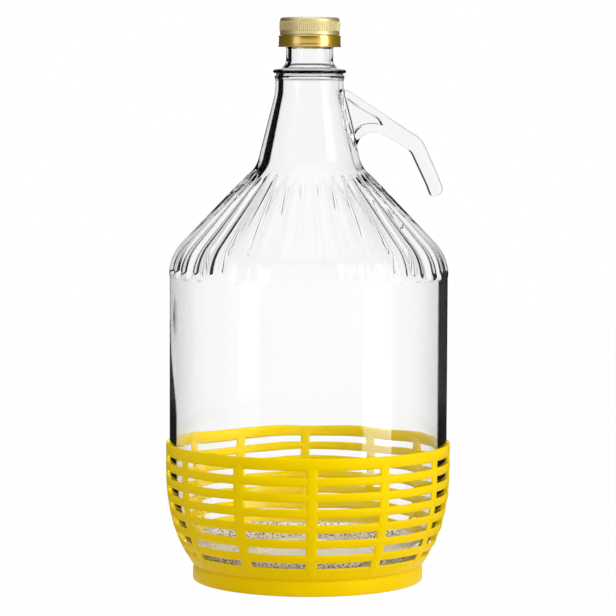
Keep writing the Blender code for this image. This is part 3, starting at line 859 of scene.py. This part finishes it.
def bowl_nodes(w, b, height):
    """Nodes for the bowl's inner radius at a height, and for its outward slope there."""
    drop = w.math("MAXIMUM", b.bowl_top - height, 0.0)
    share = w.math("MINIMUM", drop / b.bowl_depth, 0.98)
    root = w.math("SQRT", 1.0 - share * share)
    radius = b.inner_radius - b.bowl_inset * (1.0 - root)
    return radius, b.bowl_inset * share / (b.bowl_depth * root)


def wrap_nodes(w, b, shape, around, height, out):
    """Nodes that lay a flat shape on the bowl: an angle, a height and a distance outwards."""
    radius, steep = bowl_nodes(w, b, height)
    size = w.math("SQRT", steep * steep + 1.0)
    reach = radius + out / size
    x = reach * w.math("COSINE", around)
    y = reach * w.math("SINE", around)
    return w.moved(shape, x, y, height - out * steep / size)


def copies_nodes(w, shape, count, turn):
    """Nodes for copies of a shape, evenly round the axis."""
    points = w.add("GeometryNodeMeshLine", {"Count": count, "Offset": (0.0, 0.0, 0.0)})
    around = w.get("GeometryNodeInputIndex") * (FULL_TURN / count) + turn
    copies = {"Points": points, "Instance": shape, "Rotation": w.vector(z=around)}
    return w.add("GeometryNodeInstanceOnPoints", copies)


def band_nodes(w, b):
    """Nodes for the rim and the free bands, laid on the bowl."""
    grid = w.add("GeometryNodeMeshGrid", {0: FULL_TURN, 1: FULL_TURN, 2: 289, 3: 17})
    x, y, _ = w.parts(w.add("GeometryNodeInputPosition"))
    band = b.pitch - b.gap
    crown = (w.math("COSINE", y) + 1.0) * (b.band_thickness * 0.5)
    tube = w.moved(grid, x, w.math("SINE", y) * (band * 0.5), crown)
    first = b.height - (b.rim_height + b.gap) - band * 0.5
    places = {"Start Location": w.vector(y=first), "Offset": w.vector(y=b.pitch * -1.0)}
    line = w.add("GeometryNodeMeshLine", {"Count": b.bands, **places})
    rows = w.add("GeometryNodeInstanceOnPoints", {"Points": line, "Instance": tube})
    rim = w.add("GeometryNodeTransform", {
        "Geometry": tube,
        "Translation": w.vector(y=b.height - b.rim_height * 0.5),
        "Scale": w.vector(1.0, b.rim_height / band, RIM_SWELL),
    })
    real = w.add("GeometryNodeRealizeInstances", {0: w.join(rows, rim)})
    x, y, z = w.parts(w.add("GeometryNodeInputPosition"))
    swing = w.math("COSINE", x * (b.staves / 2.0))
    weave = swing * w.math("COSINE", (y - first) / b.pitch * math.pi)
    bulge = (weave + 1.0) * (b.wave * 0.5)
    return wrap_nodes(w, b, real, x + b.turn, y, z + bulge)


def stave_nodes(w, b):
    """Nodes for the staves: one of them laid on the bowl, and its copies round the axis."""
    grid = w.add("GeometryNodeMeshGrid", {0: FULL_TURN, 1: 1.0, 2: 21, 3: 81})
    x, y, _ = w.parts(w.add("GeometryNodeInputPosition"))
    share = y + 0.5
    near_end = w.math("MINIMUM", w.math("MINIMUM", share, 1.0 - share), STAVE_END)
    open_share = 1.0 - near_end / STAVE_END
    full = w.math("SQRT", 1.0 - open_share * open_share)
    sine = w.math("SINE", x)
    blunt = w.math("SIGN", sine) * abs(sine) ** STAVE_BLUNTNESS
    across = blunt * full * (b.stave_width * 0.5)
    out = (w.math("COSINE", x) * full + 1.0) * (b.stave_thickness * 0.5)
    height = b.foot + share * (b.height - b.foot)
    radius, _ = bowl_nodes(w, b, height)
    stave = wrap_nodes(w, b, grid, across / radius, height, out)
    closed = w.add("GeometryNodeMergeByDistance", {0: stave, "Distance": SMALLEST})
    return copies_nodes(w, closed, b.staves, b.turn)


def cage_nodes(w, b):
    """Nodes for the basket's open wall: waved bands and staves that follow the bowl."""
    return w.join(band_nodes(w, b), stave_nodes(w, b))


def make_cage(b, material):
    """The basket's wall of staves and bands."""
    sizes = {key: getattr(b, key) for key in CAGE_SIZES}
    sizes |= {"foot": b.waist_height + 0.001, "material": material}
    return run_tree("basket_cage", cage_nodes, sizes)


def bowl_radius(b, height):
    """Inner radius of the basket's wall."""
    drop = max(0.0, b.bowl_top - height) / b.bowl_depth
    return b.inner_radius - b.bowl_inset * (1 - math.sqrt(1 - drop * drop))


def make_foot(b, material):
    """The foot ring, the solid foot of the bowl and the spoked floor."""
    bm = bmesh.new()
    under = b.floor_underside
    floor = under + b.floor_thickness
    low_gap = b.height - b.rim_height - b.bands * b.pitch - b.gap
    wall = b.band_thickness
    tall = low_gap - b.waist_height - WAIST_EDGE
    heights = [low_gap - tall * step / FOOT_STEPS for step in range(FOOT_STEPS + 1)]
    outer = []
    for step, height in enumerate(heights):
        swell = FOOT_SWELL * (step / FOOT_STEPS) ** 2
        outer.append((bowl_radius(b, height) + wall + swell, height))
    outer[0] = (outer[0][0] - wall * TOP_BEVEL[0], outer[0][1] + TOP_BEVEL[1])
    waist = b.foot_radius - b.waist_depth
    flare_centre = (waist - OVERLAP, b.waist_height - FLARE_DROP)
    flare = arc(flare_centre, b.waist_depth + OVERLAP, FLARE_TALL, 80, 0, 6)
    edge_centre = (b.foot_radius - b.foot_round, b.foot_round)
    edge = arc(edge_centre, b.foot_round, b.foot_round, 0, -90, 4)
    inner_foot = b.foot_radius - b.foot_wall
    ledge = [
        (inner_foot, 0.0),
        (inner_foot, under),
        (b.ledge_radius, under),
        (b.ledge_radius, floor),
        (bowl_radius(b, floor), floor),
    ]
    inner = [(bowl_radius(b, height), height) for height in reversed(heights)]
    outline = outer + [(waist, b.waist_height)] + flare + edge + ledge + inner
    turned(bm, outline, 192, close=True)
    hub = ((b.hub_bore, under), (b.hub_radius, under), (b.hub_radius, floor), (b.hub_bore, floor))
    turned(bm, hub, 64, close=True)
    low, high = under + OVERLAP, floor - OVERLAP
    near, far = b.hub_radius - 10 * OVERLAP, b.ledge_radius + 10 * OVERLAP
    for spoke in range(b.staves // 2):
        start = b.turn + FULL_TURN * spoke * 2 / b.staves - b.spoke_angle / 2
        section = ((near, low), (far, low), (far, high), (near, high))
        add_bar(bm, section, start, start + b.spoke_angle, 4)
    return from_bmesh("basket_foot", bm, material, math.radians(50))


# Closure


# The rolled lower edge of the skirt: how far past its plain radius, and how high
SKIRT_EDGE = ((-0.00015, 0.0), (0.00010, 0.00030), (0.00010, 0.00110), (0.0, 0.00140))
# The tamper band between its beads: how far inside its lower radius, and how high
BAND_WAIST = ((0.00030, 0.0018), (0.00036, 0.0030))


def make_shell(c, material):
    """The cap's shell: a skirt, a rounded top edge and a flat top."""
    bm = bmesh.new()
    plain_radius = c.shell_radius - c.knurl_depth
    inner = plain_radius - c.shell_wall + c.knurl_depth
    edge_centre = (plain_radius - c.edge_round, c.shell_top - c.edge_round)
    path = [
        (0, c.shell_top - c.top_wall),
        (inner, c.shell_top - c.top_wall),
        (inner, c.shell_base),
        *((plain_radius + out, c.shell_base + up) for out, up in SKIRT_EDGE),
        *arc(edge_centre, c.edge_round, c.edge_round, 0, 90, 8),
        (0, c.shell_top),
    ]
    turned(bm, path, 192)
    return from_bmesh("cap_skirt", bm, material)


def knurl_nodes(w, k):
    """Nodes for fine upright ribs, each a closed oval that fades at both ends."""
    grid = w.add("GeometryNodeMeshGrid", {0: FULL_TURN, 1: 1.0, 2: 11, 3: 11})
    x, y, _ = w.parts(w.add("GeometryNodeInputPosition"))
    ends = 1.0 - abs(y * 2.0) ** 8.0
    reach = k.radius + w.math("COSINE", x) * ends * k.depth
    across = w.math("SINE", x) * ends * (k.width * 0.5)
    rib = w.moved(grid, reach, across, k.low + (y + 0.5) * (k.high - k.low))
    return copies_nodes(w, rib, k.count, 0.0)


def make_knurls(c, material):
    """The knurls round the cap's skirt."""
    return run_tree("cap_knurls", knurl_nodes, {
        "radius": c.shell_radius - c.knurl_depth,
        "low": c.shell_base + c.knurl_low,
        "high": c.shell_top - c.knurl_high,
        "width": c.knurl_width,
        "depth": c.knurl_depth,
        "count": c.knurls,
        "material": material,
    })


def make_band(c, material):
    """The tamper band: a flared ring with a bead along each edge and a folded lip."""
    bm = bmesh.new()
    bead = c.band_bead
    low, high = c.band_radius, c.band_top_radius
    fold = c.band_base + c.band_lip_height
    path = [
        (c.band_lip, c.band_base),
        *arc((low - 2 * bead, c.band_base + 2 * bead), 2 * bead, 2 * bead, -90, 70, 7),
        *((low - inwards, c.band_base + up) for inwards, up in BAND_WAIST),
        (high - 0.00030, c.band_top - 0.0013),
        *arc((high - bead, c.band_top - bead), bead, bead, -40, 90, 6),
        (high - c.band_wall, c.band_top),
        (low - c.band_wall - 0.0002, fold),
        (c.band_lip, fold),
    ]
    turned(bm, path, 192, close=True)
    return from_bmesh("band_ring", bm, material)


# Finishes


def new_material(name):
    """An empty node material, its writer and its Principled shader."""
    material = bpy.data.materials.new(name)
    material.use_nodes = True
    return material, NodeWriter(material.node_tree), material.node_tree.nodes["Principled BSDF"]


def show(w, shader):
    """Make a shader the one that a material shows."""
    w.fill(w.tree.nodes["Material Output"], {"Surface": shader})


def surface_parts(w, output):
    """The three numbers of a point's place or normal, in the object's own coordinates."""
    return w.parts(w.get("ShaderNodeTexCoord", output=output))


def object_noise(w, scale, detail=2.0):
    """A noise value in the object's own coordinates, from 0 to 1."""
    place = w.get("ShaderNodeTexCoord", output="Object")
    return w.get("ShaderNodeTexNoise", {"Vector": place, "Scale": scale, "Detail": detail}, "Fac")


def spread(value, low, high):
    """A value from 0 to 1 spread from one number to another."""
    return value.writer.get("ShaderNodeMapRange", {"Value": value, "To Min": low, "To Max": high})


def stepped(value, start, end):
    """A smooth step of a value, from 0 at one number to 1 at another."""
    inputs = {"Value": value, "From Min": start, "From Max": end}
    return value.writer.get("ShaderNodeMapRange", inputs, interpolation_type="SMOOTHSTEP")


def blended(share, first, second):
    """A number between two others."""
    return share.writer.get("ShaderNodeMix", {0: share, 2: first, 3: second})


def bumped(height, distance, strength):
    """A normal from a height."""
    inputs = {"Height": height, "Distance": distance, "Strength": strength}
    return height.writer.get("ShaderNodeBump", inputs)


def tinted(base, value):
    """A colour whose lightness is multiplied by a value."""
    return value.writer.get("ShaderNodeHueSaturation", {"Value": value, "Color": (*base, 1.0)})


def facing(w, normal):
    """How far a normal turns away from the eye, from 0 to 1."""
    return w.get("ShaderNodeLayerWeight", {"Blend": 0.5, "Normal": normal}, "Facing")


def level_part(w, upward):
    """How long the level part of a unit vector is, from its upward part, and never 0."""
    return w.math("SQRT", w.math("MAXIMUM", 1.0 - upward * upward, 0.1))


# Painted shade: how light the glass's colour is from where it faces the eye (0) to where it is seen
# edge on (1)
GLASS_SHADES = ((0.0, 1.0), (0.35, 0.975), (0.45, 0.93), (0.55, 0.86), (0.65, 0.80), (1.0, 0.78))
MIRROR_TINT = (0.25, 0.25, 0.25, 1.0)       # weakens what the glass mirrors of the white room
NEVER = 2.0                                 # past any facing


def clear_glass(name, f, tint, edges):
    """Clear glass with painted dark lines in its colour, for the shade that a thick edge shows
    before a bright backdrop.

    A line starts at the facing "dark" and ends at "light". Facings are corrected for the
    surface's lean and for the height of the eye, so that a line keeps its width.
    """
    material, w, shader = new_material(name)
    look = {"light": NEVER, "strength": 1.0, "crease": 0.0, "frost": 0.0, "level": f.glass_edge}
    look |= edges(w)
    level = level_part(w, surface_parts(w, "Normal")[2])
    flat = level_part(w, 1.0 - facing(w, w.vector(z=1.0)))
    away = 1.0 - (1.0 - facing(w, look["normal"])) / (level * flat)
    ramp = w.add("ShaderNodeValToRGB", {"Fac": away})
    stops = ramp.color_ramp.elements
    while len(stops) < len(GLASS_SHADES):
        stops.new(0.5)
    for stop, (place, share) in zip(stops, GLASS_SHADES):
        stop.position = place
        stop.color = (*(part * share for part in tint), 1.0)
    # The dark lines are painted shade: the colour turns to a dark grey between the facings dark and
    # light
    started = stepped(away, look["dark"] - f.edge_softness, look["dark"])
    not_ended = stepped(away, look["light"] + f.edge_softness, look["light"])
    dark = w.math("MAXIMUM", started * not_ended * look["strength"], look["crease"])
    grey = w.vector(look["level"], look["level"], look["level"])
    w.fill(shader, {
        "Base Color": w.get("ShaderNodeMix", {0: dark, 6: ramp, 7: grey}, 2, data_type="RGBA"),
        "Normal": look["normal"],
        "Roughness": 0.0,
        "IOR": 1.5,
        "Specular Tint": MIRROR_TINT,
        "Transmission Weight": 1.0 - look["frost"],
    })
    # Lamps' rays pass the glass, so that what stands behind it is lit
    clear = w.add("ShaderNodeBsdfTransparent", {
        "Color": (*(part * f.lamp_share for part in f.glass), 1.0),
    })
    shadow = w.get("ShaderNodeLightPath", output="Is Shadow Ray")
    show(w, w.add("ShaderNodeMixShader", {0: shadow, 1: shader, 2: clear}))
    return material


# Heights over which the glass changes its look, each from none to all of it
HEEL_ZONE = (0.125, 0.105)
WALL_ZONE = (0.165, 0.105)
CALM_ZONE = (0.166, 0.176)
FLUTED_ZONE = (0.194, 0.200)
PALE_ZONE = (0.204, 0.222)
NECK_ZONE = (0.254, 0.262)
FOOT_ZONE = (0.0245, 0.0215)
# Facings from which the glass's colour is painted dark, and light again, each on the right and on
# the left, so that the painted lines differ from side to side
BODY_DARK, HEEL_DARK = (0.655, 0.91), 0.70
FLUTED_DARK, FLUTED_LIGHT = (0.49, 0.41), (0.62, 0.56)
NECK_DARK, NECK_LIGHT = (0.46, 0.365), (0.49, 0.575)
NECK_STRENGTH = (0.65, 1.0)
LEFT_SIDE = (0.4, -0.4)       # from a normal that points right to one that points left
# The carrying ring's creases get painted shade from these upward parts of their normals
UNDER_CREST, TOP_CREST = (-0.10, -0.35), (0.60, 0.30)   # upward parts of dark creases' normals
UPRIGHT = (0.97, 0.88)        # from a level face to an upright one
TURNED_AWAY = (0.46, 0.64)    # facings over which the outer flutes' lines get pale
STIPPLE_SCALE, STIPPLE_DOT = 560.0, (0.42, 0.30)


def glass_finish(g, f):
    """The bottle's glass: painted dark lines that differ up its height and from side to side,
    painted shade on the ring's creases and the fluted shoulder, and a stippled foot with painted
    dark dots.
    """

    def edges(w):
        """The surface's normal, from where its edge is painted dark and light again, and the other
        painted shade.
        """
        x, y, height = surface_parts(w, "Object")
        across, _, up = surface_parts(w, "Normal")
        inner = w.get("ShaderNodeAttribute", output="Fac", attribute_name="inside")
        left = stepped(across, *LEFT_SIDE)
        fluted = stepped(height, *FLUTED_ZONE)
        neck = stepped(height, *NECK_ZONE)

        left_wall = blended(stepped(height, *WALL_ZONE), BODY_DARK[1], HEEL_DARK)
        left_wall = left_wall + stepped(height, *CALM_ZONE) * 0.5
        dark = blended(left, BODY_DARK[0], left_wall)
        dark = blended(fluted, dark, blended(left, *FLUTED_DARK))
        dark = blended(neck, dark, blended(left, *NECK_DARK)) + inner * NEVER
        light = blended(fluted, NEVER, blended(left, *FLUTED_LIGHT))
        light = blended(neck, light, blended(left, *NECK_LIGHT))

        # Painted shade along the carrying ring's creases, and a faint painted shade over the fluted
        # shoulder
        ring_low = g.base + g.ring_base
        above = w.math("GREATER_THAN", height, ring_low)
        ring = above * w.math("LESS_THAN", height, ring_low + g.ring_height)
        groove_top = ring_low + 2 * RING_STEP * g.ring_height + g.ring_groove
        upper = w.math("GREATER_THAN", height, groove_top)
        under = blended(upper, stepped(up, *UNDER_CREST) * 0.35, stepped(up, *TOP_CREST))
        crease = w.math("MAXIMUM", ring * under, fluted * 0.03)

        foot = stepped(height, *FOOT_ZONE) * (1.0 - inner)
        rim = foot * stepped(abs(up), *UPRIGHT)
        cells = {"Vector": w.vector(x, y, height), "Scale": STIPPLE_SCALE}
        cell = w.get("ShaderNodeTexVoronoi", cells, "Distance")
        # Painted shade: the stipple's cells get dark dots in the glass's colour
        dots = rim * stepped(cell, *STIPPLE_DOT)
        relief = cell * rim * 2.0 + object_noise(w, 40.0, 1.0) * 0.06

        sideways = w.add("ShaderNodeVectorMath", {0: w.vector(x, y)}, operation="NORMALIZE")
        turned_away = stepped(facing(w, sideways), *TURNED_AWAY)
        pale = stepped(height, *PALE_ZONE) * turned_away * 0.70
        # The painted dark lines are blacker at the neck and the heel
        deep = w.math("MAXIMUM", neck, stepped(height, *HEEL_ZONE))
        return {
            "normal": bumped(relief, 0.0006, 0.7),
            "dark": dark,
            "light": light,
            "strength": blended(neck, 1.0 - pale, blended(left, *NECK_STRENGTH)),
            "crease": w.math("MAXIMUM", crease, dots * 0.9),
            "frost": foot * 0.55,
            "level": blended(deep, f.glass_edge, f.glass_edge * 0.04),
        }

    return clear_glass("clear_glass_finish", f, f.glass, edges)


def handle_finish(f):
    """The handle's glass: pale at its edges, with painted dark lines where an attribute asks for
    them.
    """

    def edges(w):
        """The surface's normal, and from where its edge is dark."""
        dark = w.get("ShaderNodeAttribute", output="Fac", attribute_name="dark_edge")
        return {"normal": bumped(object_noise(w, 60.0, 1.0), 0.0003, 0.2), "dark": 1.3 - dark}

    return clear_glass("handle_glass_finish", f, [part * f.handle_shade for part in f.glass], edges)


def plastic_finish(f):
    """Smooth moulded plastic with a faint flow pattern and a soft sheen."""
    material, w, shader = new_material("yellow_plastic_finish")
    flow = object_noise(w, 38.0, 3.0)
    w.fill(shader, {
        "Base Color": tinted(f.plastic, spread(flow, 0.95, 1.05)),
        "Roughness": spread(flow, 0.40, 0.54),
        "Specular IOR Level": 0.22,
        "Specular Tint": (1.0, 0.72, 0.05, 1.0),
        "Normal": bumped(object_noise(w, 900.0), 0.00006, 0.25),
    })
    return material


def shell_finish(f):
    """Matt gold lacquer on the cap's shell, with painted shade on its rounded top edge."""
    material, w, shader = new_material("pale_gold_finish")
    cloud = object_noise(w, 160.0, 3.0)
    up = surface_parts(w, "Normal")[2]
    # Painted shade: the colour is darker where the normal turns up over the top edge
    painted_edge_shade = stepped(up, 0.15, 0.45) * stepped(up, 0.99, 0.90)
    w.fill(shader, {
        "Base Color": tinted(f.shell, spread(cloud, 0.96, 1.05) - painted_edge_shade * 0.12),
        "Roughness": spread(cloud, 0.46, 0.56),
        "Metallic": 0.85,
        "Coat Weight": 0.8,
        "Coat IOR": 1.8,
        "Coat Roughness": 0.5,
        "Normal": bumped(object_noise(w, 2600.0, 1.0), 0.00003, 0.25),
    })
    return material


def band_finish(f):
    """Glossy deep gold lacquer with faint scratches round the band."""
    material, w, shader = new_material("deep_gold_finish")
    place = w.get("ShaderNodeTexCoord", output="Object")
    stretch = w.add("ShaderNodeMapping", {"Vector": place, "Scale": (60.0, 60.0, 2500.0)})
    streak = w.get("ShaderNodeTexNoise", {"Vector": stretch, "Scale": 1.0}, "Fac")
    w.fill(shader, {
        "Base Color": tinted(f.band, spread(streak, 0.96, 1.04)),
        "Roughness": spread(streak, 0.30, 0.38),
        "Metallic": 0.72,
        "Coat Weight": 1.0,
        "Coat IOR": 2.1,
        "Coat Roughness": 0.18,
        "Normal": bumped(streak, 0.00002, 0.2),
    })
    return material


def liner_finish(f):
    """White closed cell foam."""
    material, w, shader = new_material("liner_foam_finish")
    cells = object_noise(w, 1500.0)
    w.fill(shader, {
        "Base Color": tinted(f.liner, spread(cells, 0.94, 1.03)),
        "Roughness": spread(cells, 0.75, 0.95),
        "Normal": bumped(cells, 0.0001, 0.4),
    })
    return material


# Stage


WHITE = (1.0, 1.0, 1.0, 1.0)
STAGE_MIDDLE = (0.0, 0.0, 0.18)
CARD_FOOT = 0.0004            # how far the cards stay above the floor
FRONT = -math.pi / 2          # the angle about the axis at which the camera stands
# Cards round the set, with gaps in front for the tall softboxes: start and end in degrees
# from the front, distance from the axis, height and the setting that holds the brightness
CARDS = (
    ("flag_left", -167, -64, 0.60, 1.10, "flag_level"),
    ("flag_front", -37, 41, 0.50, 0.30, "flag_level"),
    ("flag_right", 72, 167, 0.60, 1.10, "flag_level"),
    ("strip_right", 42, 67, 0.60, 0.10, "strip_level"),
)
# Tall softboxes: degrees from the front, width and the setting that holds the power
TALL_LAMPS = (
    ("softbox_left", -48, 0.36, "left_power"),
    ("softbox_right", 57, 0.40, "right_power"),
)
TALL_LAMP_REACH, TALL_LAMP_PLACE, TALL_LAMP_SIZE = 0.95, 0.34, 0.95


def seen(w):
    """1 for camera, mirror and see-through rays, 0 for rays that only light the object."""
    path = w.add("ShaderNodeLightPath").outputs
    names = ("Is Camera Ray", "Is Glossy Ray", "Is Transmission Ray")
    camera, mirror, through = (Value(w, path[name]) for name in names)
    return w.math("MAXIMUM", w.math("MAXIMUM", camera, mirror), through)


def make_world(s):
    """A white room: full white where it is seen, softer as light on matt surfaces."""
    world = bpy.data.worlds.new("white_room")
    bpy.context.scene.world = world
    world.use_nodes = True
    w = NodeWriter(world.node_tree)
    strength = spread(seen(w), s.ambient, 1.0)
    w.fill(world.node_tree.nodes["Background"], {"Color": WHITE, "Strength": strength})


def make_floor(s):
    """A plain white floor that keeps the object's shadow."""
    material, w, shader = new_material("floor_white")
    grey = (0.72, 0.72, 0.72, 1.0)
    w.fill(shader, {"Base Color": grey, "Roughness": 0.9, "Specular IOR Level": 0.0})
    glow = w.add("ShaderNodeEmission", {"Color": WHITE, "Strength": 1.0})
    show(w, w.add("ShaderNodeMixShader", {0: seen(w) * s.floor_glow, 1: shader, 2: glow}))
    bm = bmesh.new()
    bmesh.ops.create_grid(bm, x_segments=1, y_segments=1, size=s.floor_size / 2)
    floor = from_bmesh("floor", bm, material)


def add_flag(name, bm, level):
    """A card that only mirror reflections show."""
    material, w, shader = new_material(name)
    black = (0.0, 0.0, 0.0, 1.0)
    w.fill(shader, {"Base Color": black, "Specular IOR Level": 0.0})
    w.fill(shader, {"Emission Color": WHITE, "Emission Strength": level})
    flag = from_bmesh(name, bm, material)
    flag.visible_camera = False
    flag.visible_diffuse = False
    flag.visible_transmission = False
    flag.visible_shadow = False


def make_flags(s):
    """Dark cards and one bright strip round the set, and a dark one on the floor."""
    for name, start, end, reach, high, level in CARDS:
        bm = bmesh.new()
        turns = (FRONT + math.radians(start), FRONT + math.radians(end))
        rows = curved_rows(bm, ((reach, CARD_FOOT), (reach, high)), *turns, 12)
        skin(bm, rows, round_rows=False)
        add_flag(name, bm, getattr(s, level))
    bm = bmesh.new()
    turned(bm, ((0.12, CARD_FOOT), (0.61, CARD_FOOT)), 48)
    add_flag("flag_floor", bm, s.flag_level)


def add_softbox(name, place, target, width, height, power):
    """A rectangular lamp that points at a target."""
    light = bpy.data.lights.new(name, "AREA")
    light.shape = "RECTANGLE"
    light.size = width
    light.size_y = height
    light.energy = power
    lamp = new_object(name, light)
    lamp.location = place
    lamp.rotation_euler = (Vector(target) - Vector(place)).to_track_quat("-Z", "Y").to_euler()
    lamp.visible_camera = False
    return lamp


def make_lamps(s):
    """Two tall softboxes, one overhead, and a fill light inside the bottle."""
    for name, degrees, width, power in TALL_LAMPS:
        place = polar(TALL_LAMP_REACH, FRONT + math.radians(degrees), TALL_LAMP_PLACE)
        add_softbox(name, place, STAGE_MIDDLE, width, TALL_LAMP_SIZE, getattr(s, power))
    add_softbox("softbox_top", (0.0, -0.25, 1.25), STAGE_MIDDLE, 0.9, 0.9, s.top_power)
    place, target = (0.035, -0.03, 0.09), (0.02, 0.10, 0.07)
    fill = add_softbox("fill_inside", place, target, 0.08, 0.05, s.inner_power)
    fill.visible_glossy = False
    fill.visible_transmission = False


def make_camera(s):
    """The camera at the photograph's viewing angle."""
    lens = bpy.data.cameras.new("camera")
    lens.lens = s.lens
    lens.sensor_width = 36.0
    camera = new_object("camera", lens)
    camera.location = (s.camera_side, -s.camera_distance, s.camera_height)
    camera.rotation_euler = (math.pi / 2 - s.camera_tilt, -s.camera_lean, 0.0)
    bpy.context.scene.camera = camera


# Operators


class DEMIJOHN_OT_stage(Operator):
    """Set up the camera, the lamps, the white room and the floor"""

    bl_idname = "demijohn.stage"
    bl_label = "Stage"

    def execute(self, context):
        s = context.scene.demijohn_stage
        context.scene.view_settings.view_transform = "Standard"
        make_camera(s)
        make_world(s)
        make_floor(s)
        make_flags(s)
        make_lamps(s)
        return {"FINISHED"}


class DEMIJOHN_OT_bottle(Operator):
    """Build the blown glass bottle with its handle"""

    bl_idname = "demijohn.bottle"
    bl_label = "Bottle"

    def execute(self, context):
        g = context.scene.demijohn_glass
        h = context.scene.demijohn_handle
        f = context.scene.demijohn_finish
        bottle = make_glass_shell(g, glass_finish(g, f))
        fuse_handle(bottle, make_handle(g, h, handle_finish(f)), g.base)
        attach(bottle, "bottle")
        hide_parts("bottle")
        return {"FINISHED"}


class DEMIJOHN_OT_basket(Operator):
    """Build the moulded basket"""

    bl_idname = "demijohn.basket"
    bl_label = "Basket"

    def execute(self, context):
        b = context.scene.demijohn_basket
        material = plastic_finish(context.scene.demijohn_finish)
        for piece in (make_cage(b, material), make_foot(b, material)):
            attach(piece, "basket")
            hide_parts("basket")
        return {"FINISHED"}


class DEMIJOHN_OT_cap(Operator):
    """Build the screw cap's shell and dress its liner"""

    bl_idname = "demijohn.cap"
    bl_label = "Screw cap"

    def execute(self, context):
        c = context.scene.demijohn_closure
        f = context.scene.demijohn_finish
        material = shell_finish(f)
        for piece in (make_shell(c, material), make_knurls(c, material)):
            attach(piece, "cap_shell")
            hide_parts("cap_shell")
        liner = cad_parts["cap_liner"]
        liner.data.materials.clear()
        liner.data.materials.append(liner_finish(f))
        return {"FINISHED"}


class DEMIJOHN_OT_band(Operator):
    """Build the tamper band"""

    bl_idname = "demijohn.band"
    bl_label = "Tamper band"

    def execute(self, context):
        c = context.scene.demijohn_closure
        ring = make_band(c, band_finish(context.scene.demijohn_finish))
        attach(ring, "tamper_band")
        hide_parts("tamper_band")
        return {"FINISHED"}


class DEMIJOHN_PT_panel(Panel):
    """The demijohn's operators in the sidebar"""

    bl_idname = "DEMIJOHN_PT_panel"
    bl_label = "Demijohn"
    bl_space_type = "VIEW_3D"
    bl_region_type = "UI"
    bl_category = "Demijohn"

    def draw(self, context):
        for operator in OPERATORS:
            self.layout.operator(operator.bl_idname)


SETTINGS = (
    ("demijohn_glass", GlassSettings),
    ("demijohn_handle", HandleSettings),
    ("demijohn_basket", BasketSettings),
    ("demijohn_closure", ClosureSettings),
    ("demijohn_finish", FinishSettings),
    ("demijohn_stage", StageSettings),
)
OPERATORS = (
    DEMIJOHN_OT_stage,
    DEMIJOHN_OT_bottle,
    DEMIJOHN_OT_basket,
    DEMIJOHN_OT_cap,
    DEMIJOHN_OT_band,
)


def register():
    """Register the settings, the operators and the panel."""
    for name, group in SETTINGS:
        bpy.utils.register_class(group)
        setattr(bpy.types.Scene, name, PointerProperty(type=group))
    for item in (*OPERATORS, DEMIJOHN_PT_panel):
        bpy.utils.register_class(item)


def unregister():
    """Take back what register did."""
    for item in (DEMIJOHN_PT_panel, *reversed(OPERATORS)):
        bpy.utils.unregister_class(item)
    for name, group in reversed(SETTINGS):
        delattr(bpy.types.Scene, name)
        bpy.utils.unregister_class(group)


def main():
    """Build the whole object."""
    register()
    bpy.ops.demijohn.stage()
    bpy.ops.demijohn.bottle()
    bpy.ops.demijohn.basket()
    bpy.ops.demijohn.cap()
    bpy.ops.demijohn.band()


if __name__ == "__main__":
    main()
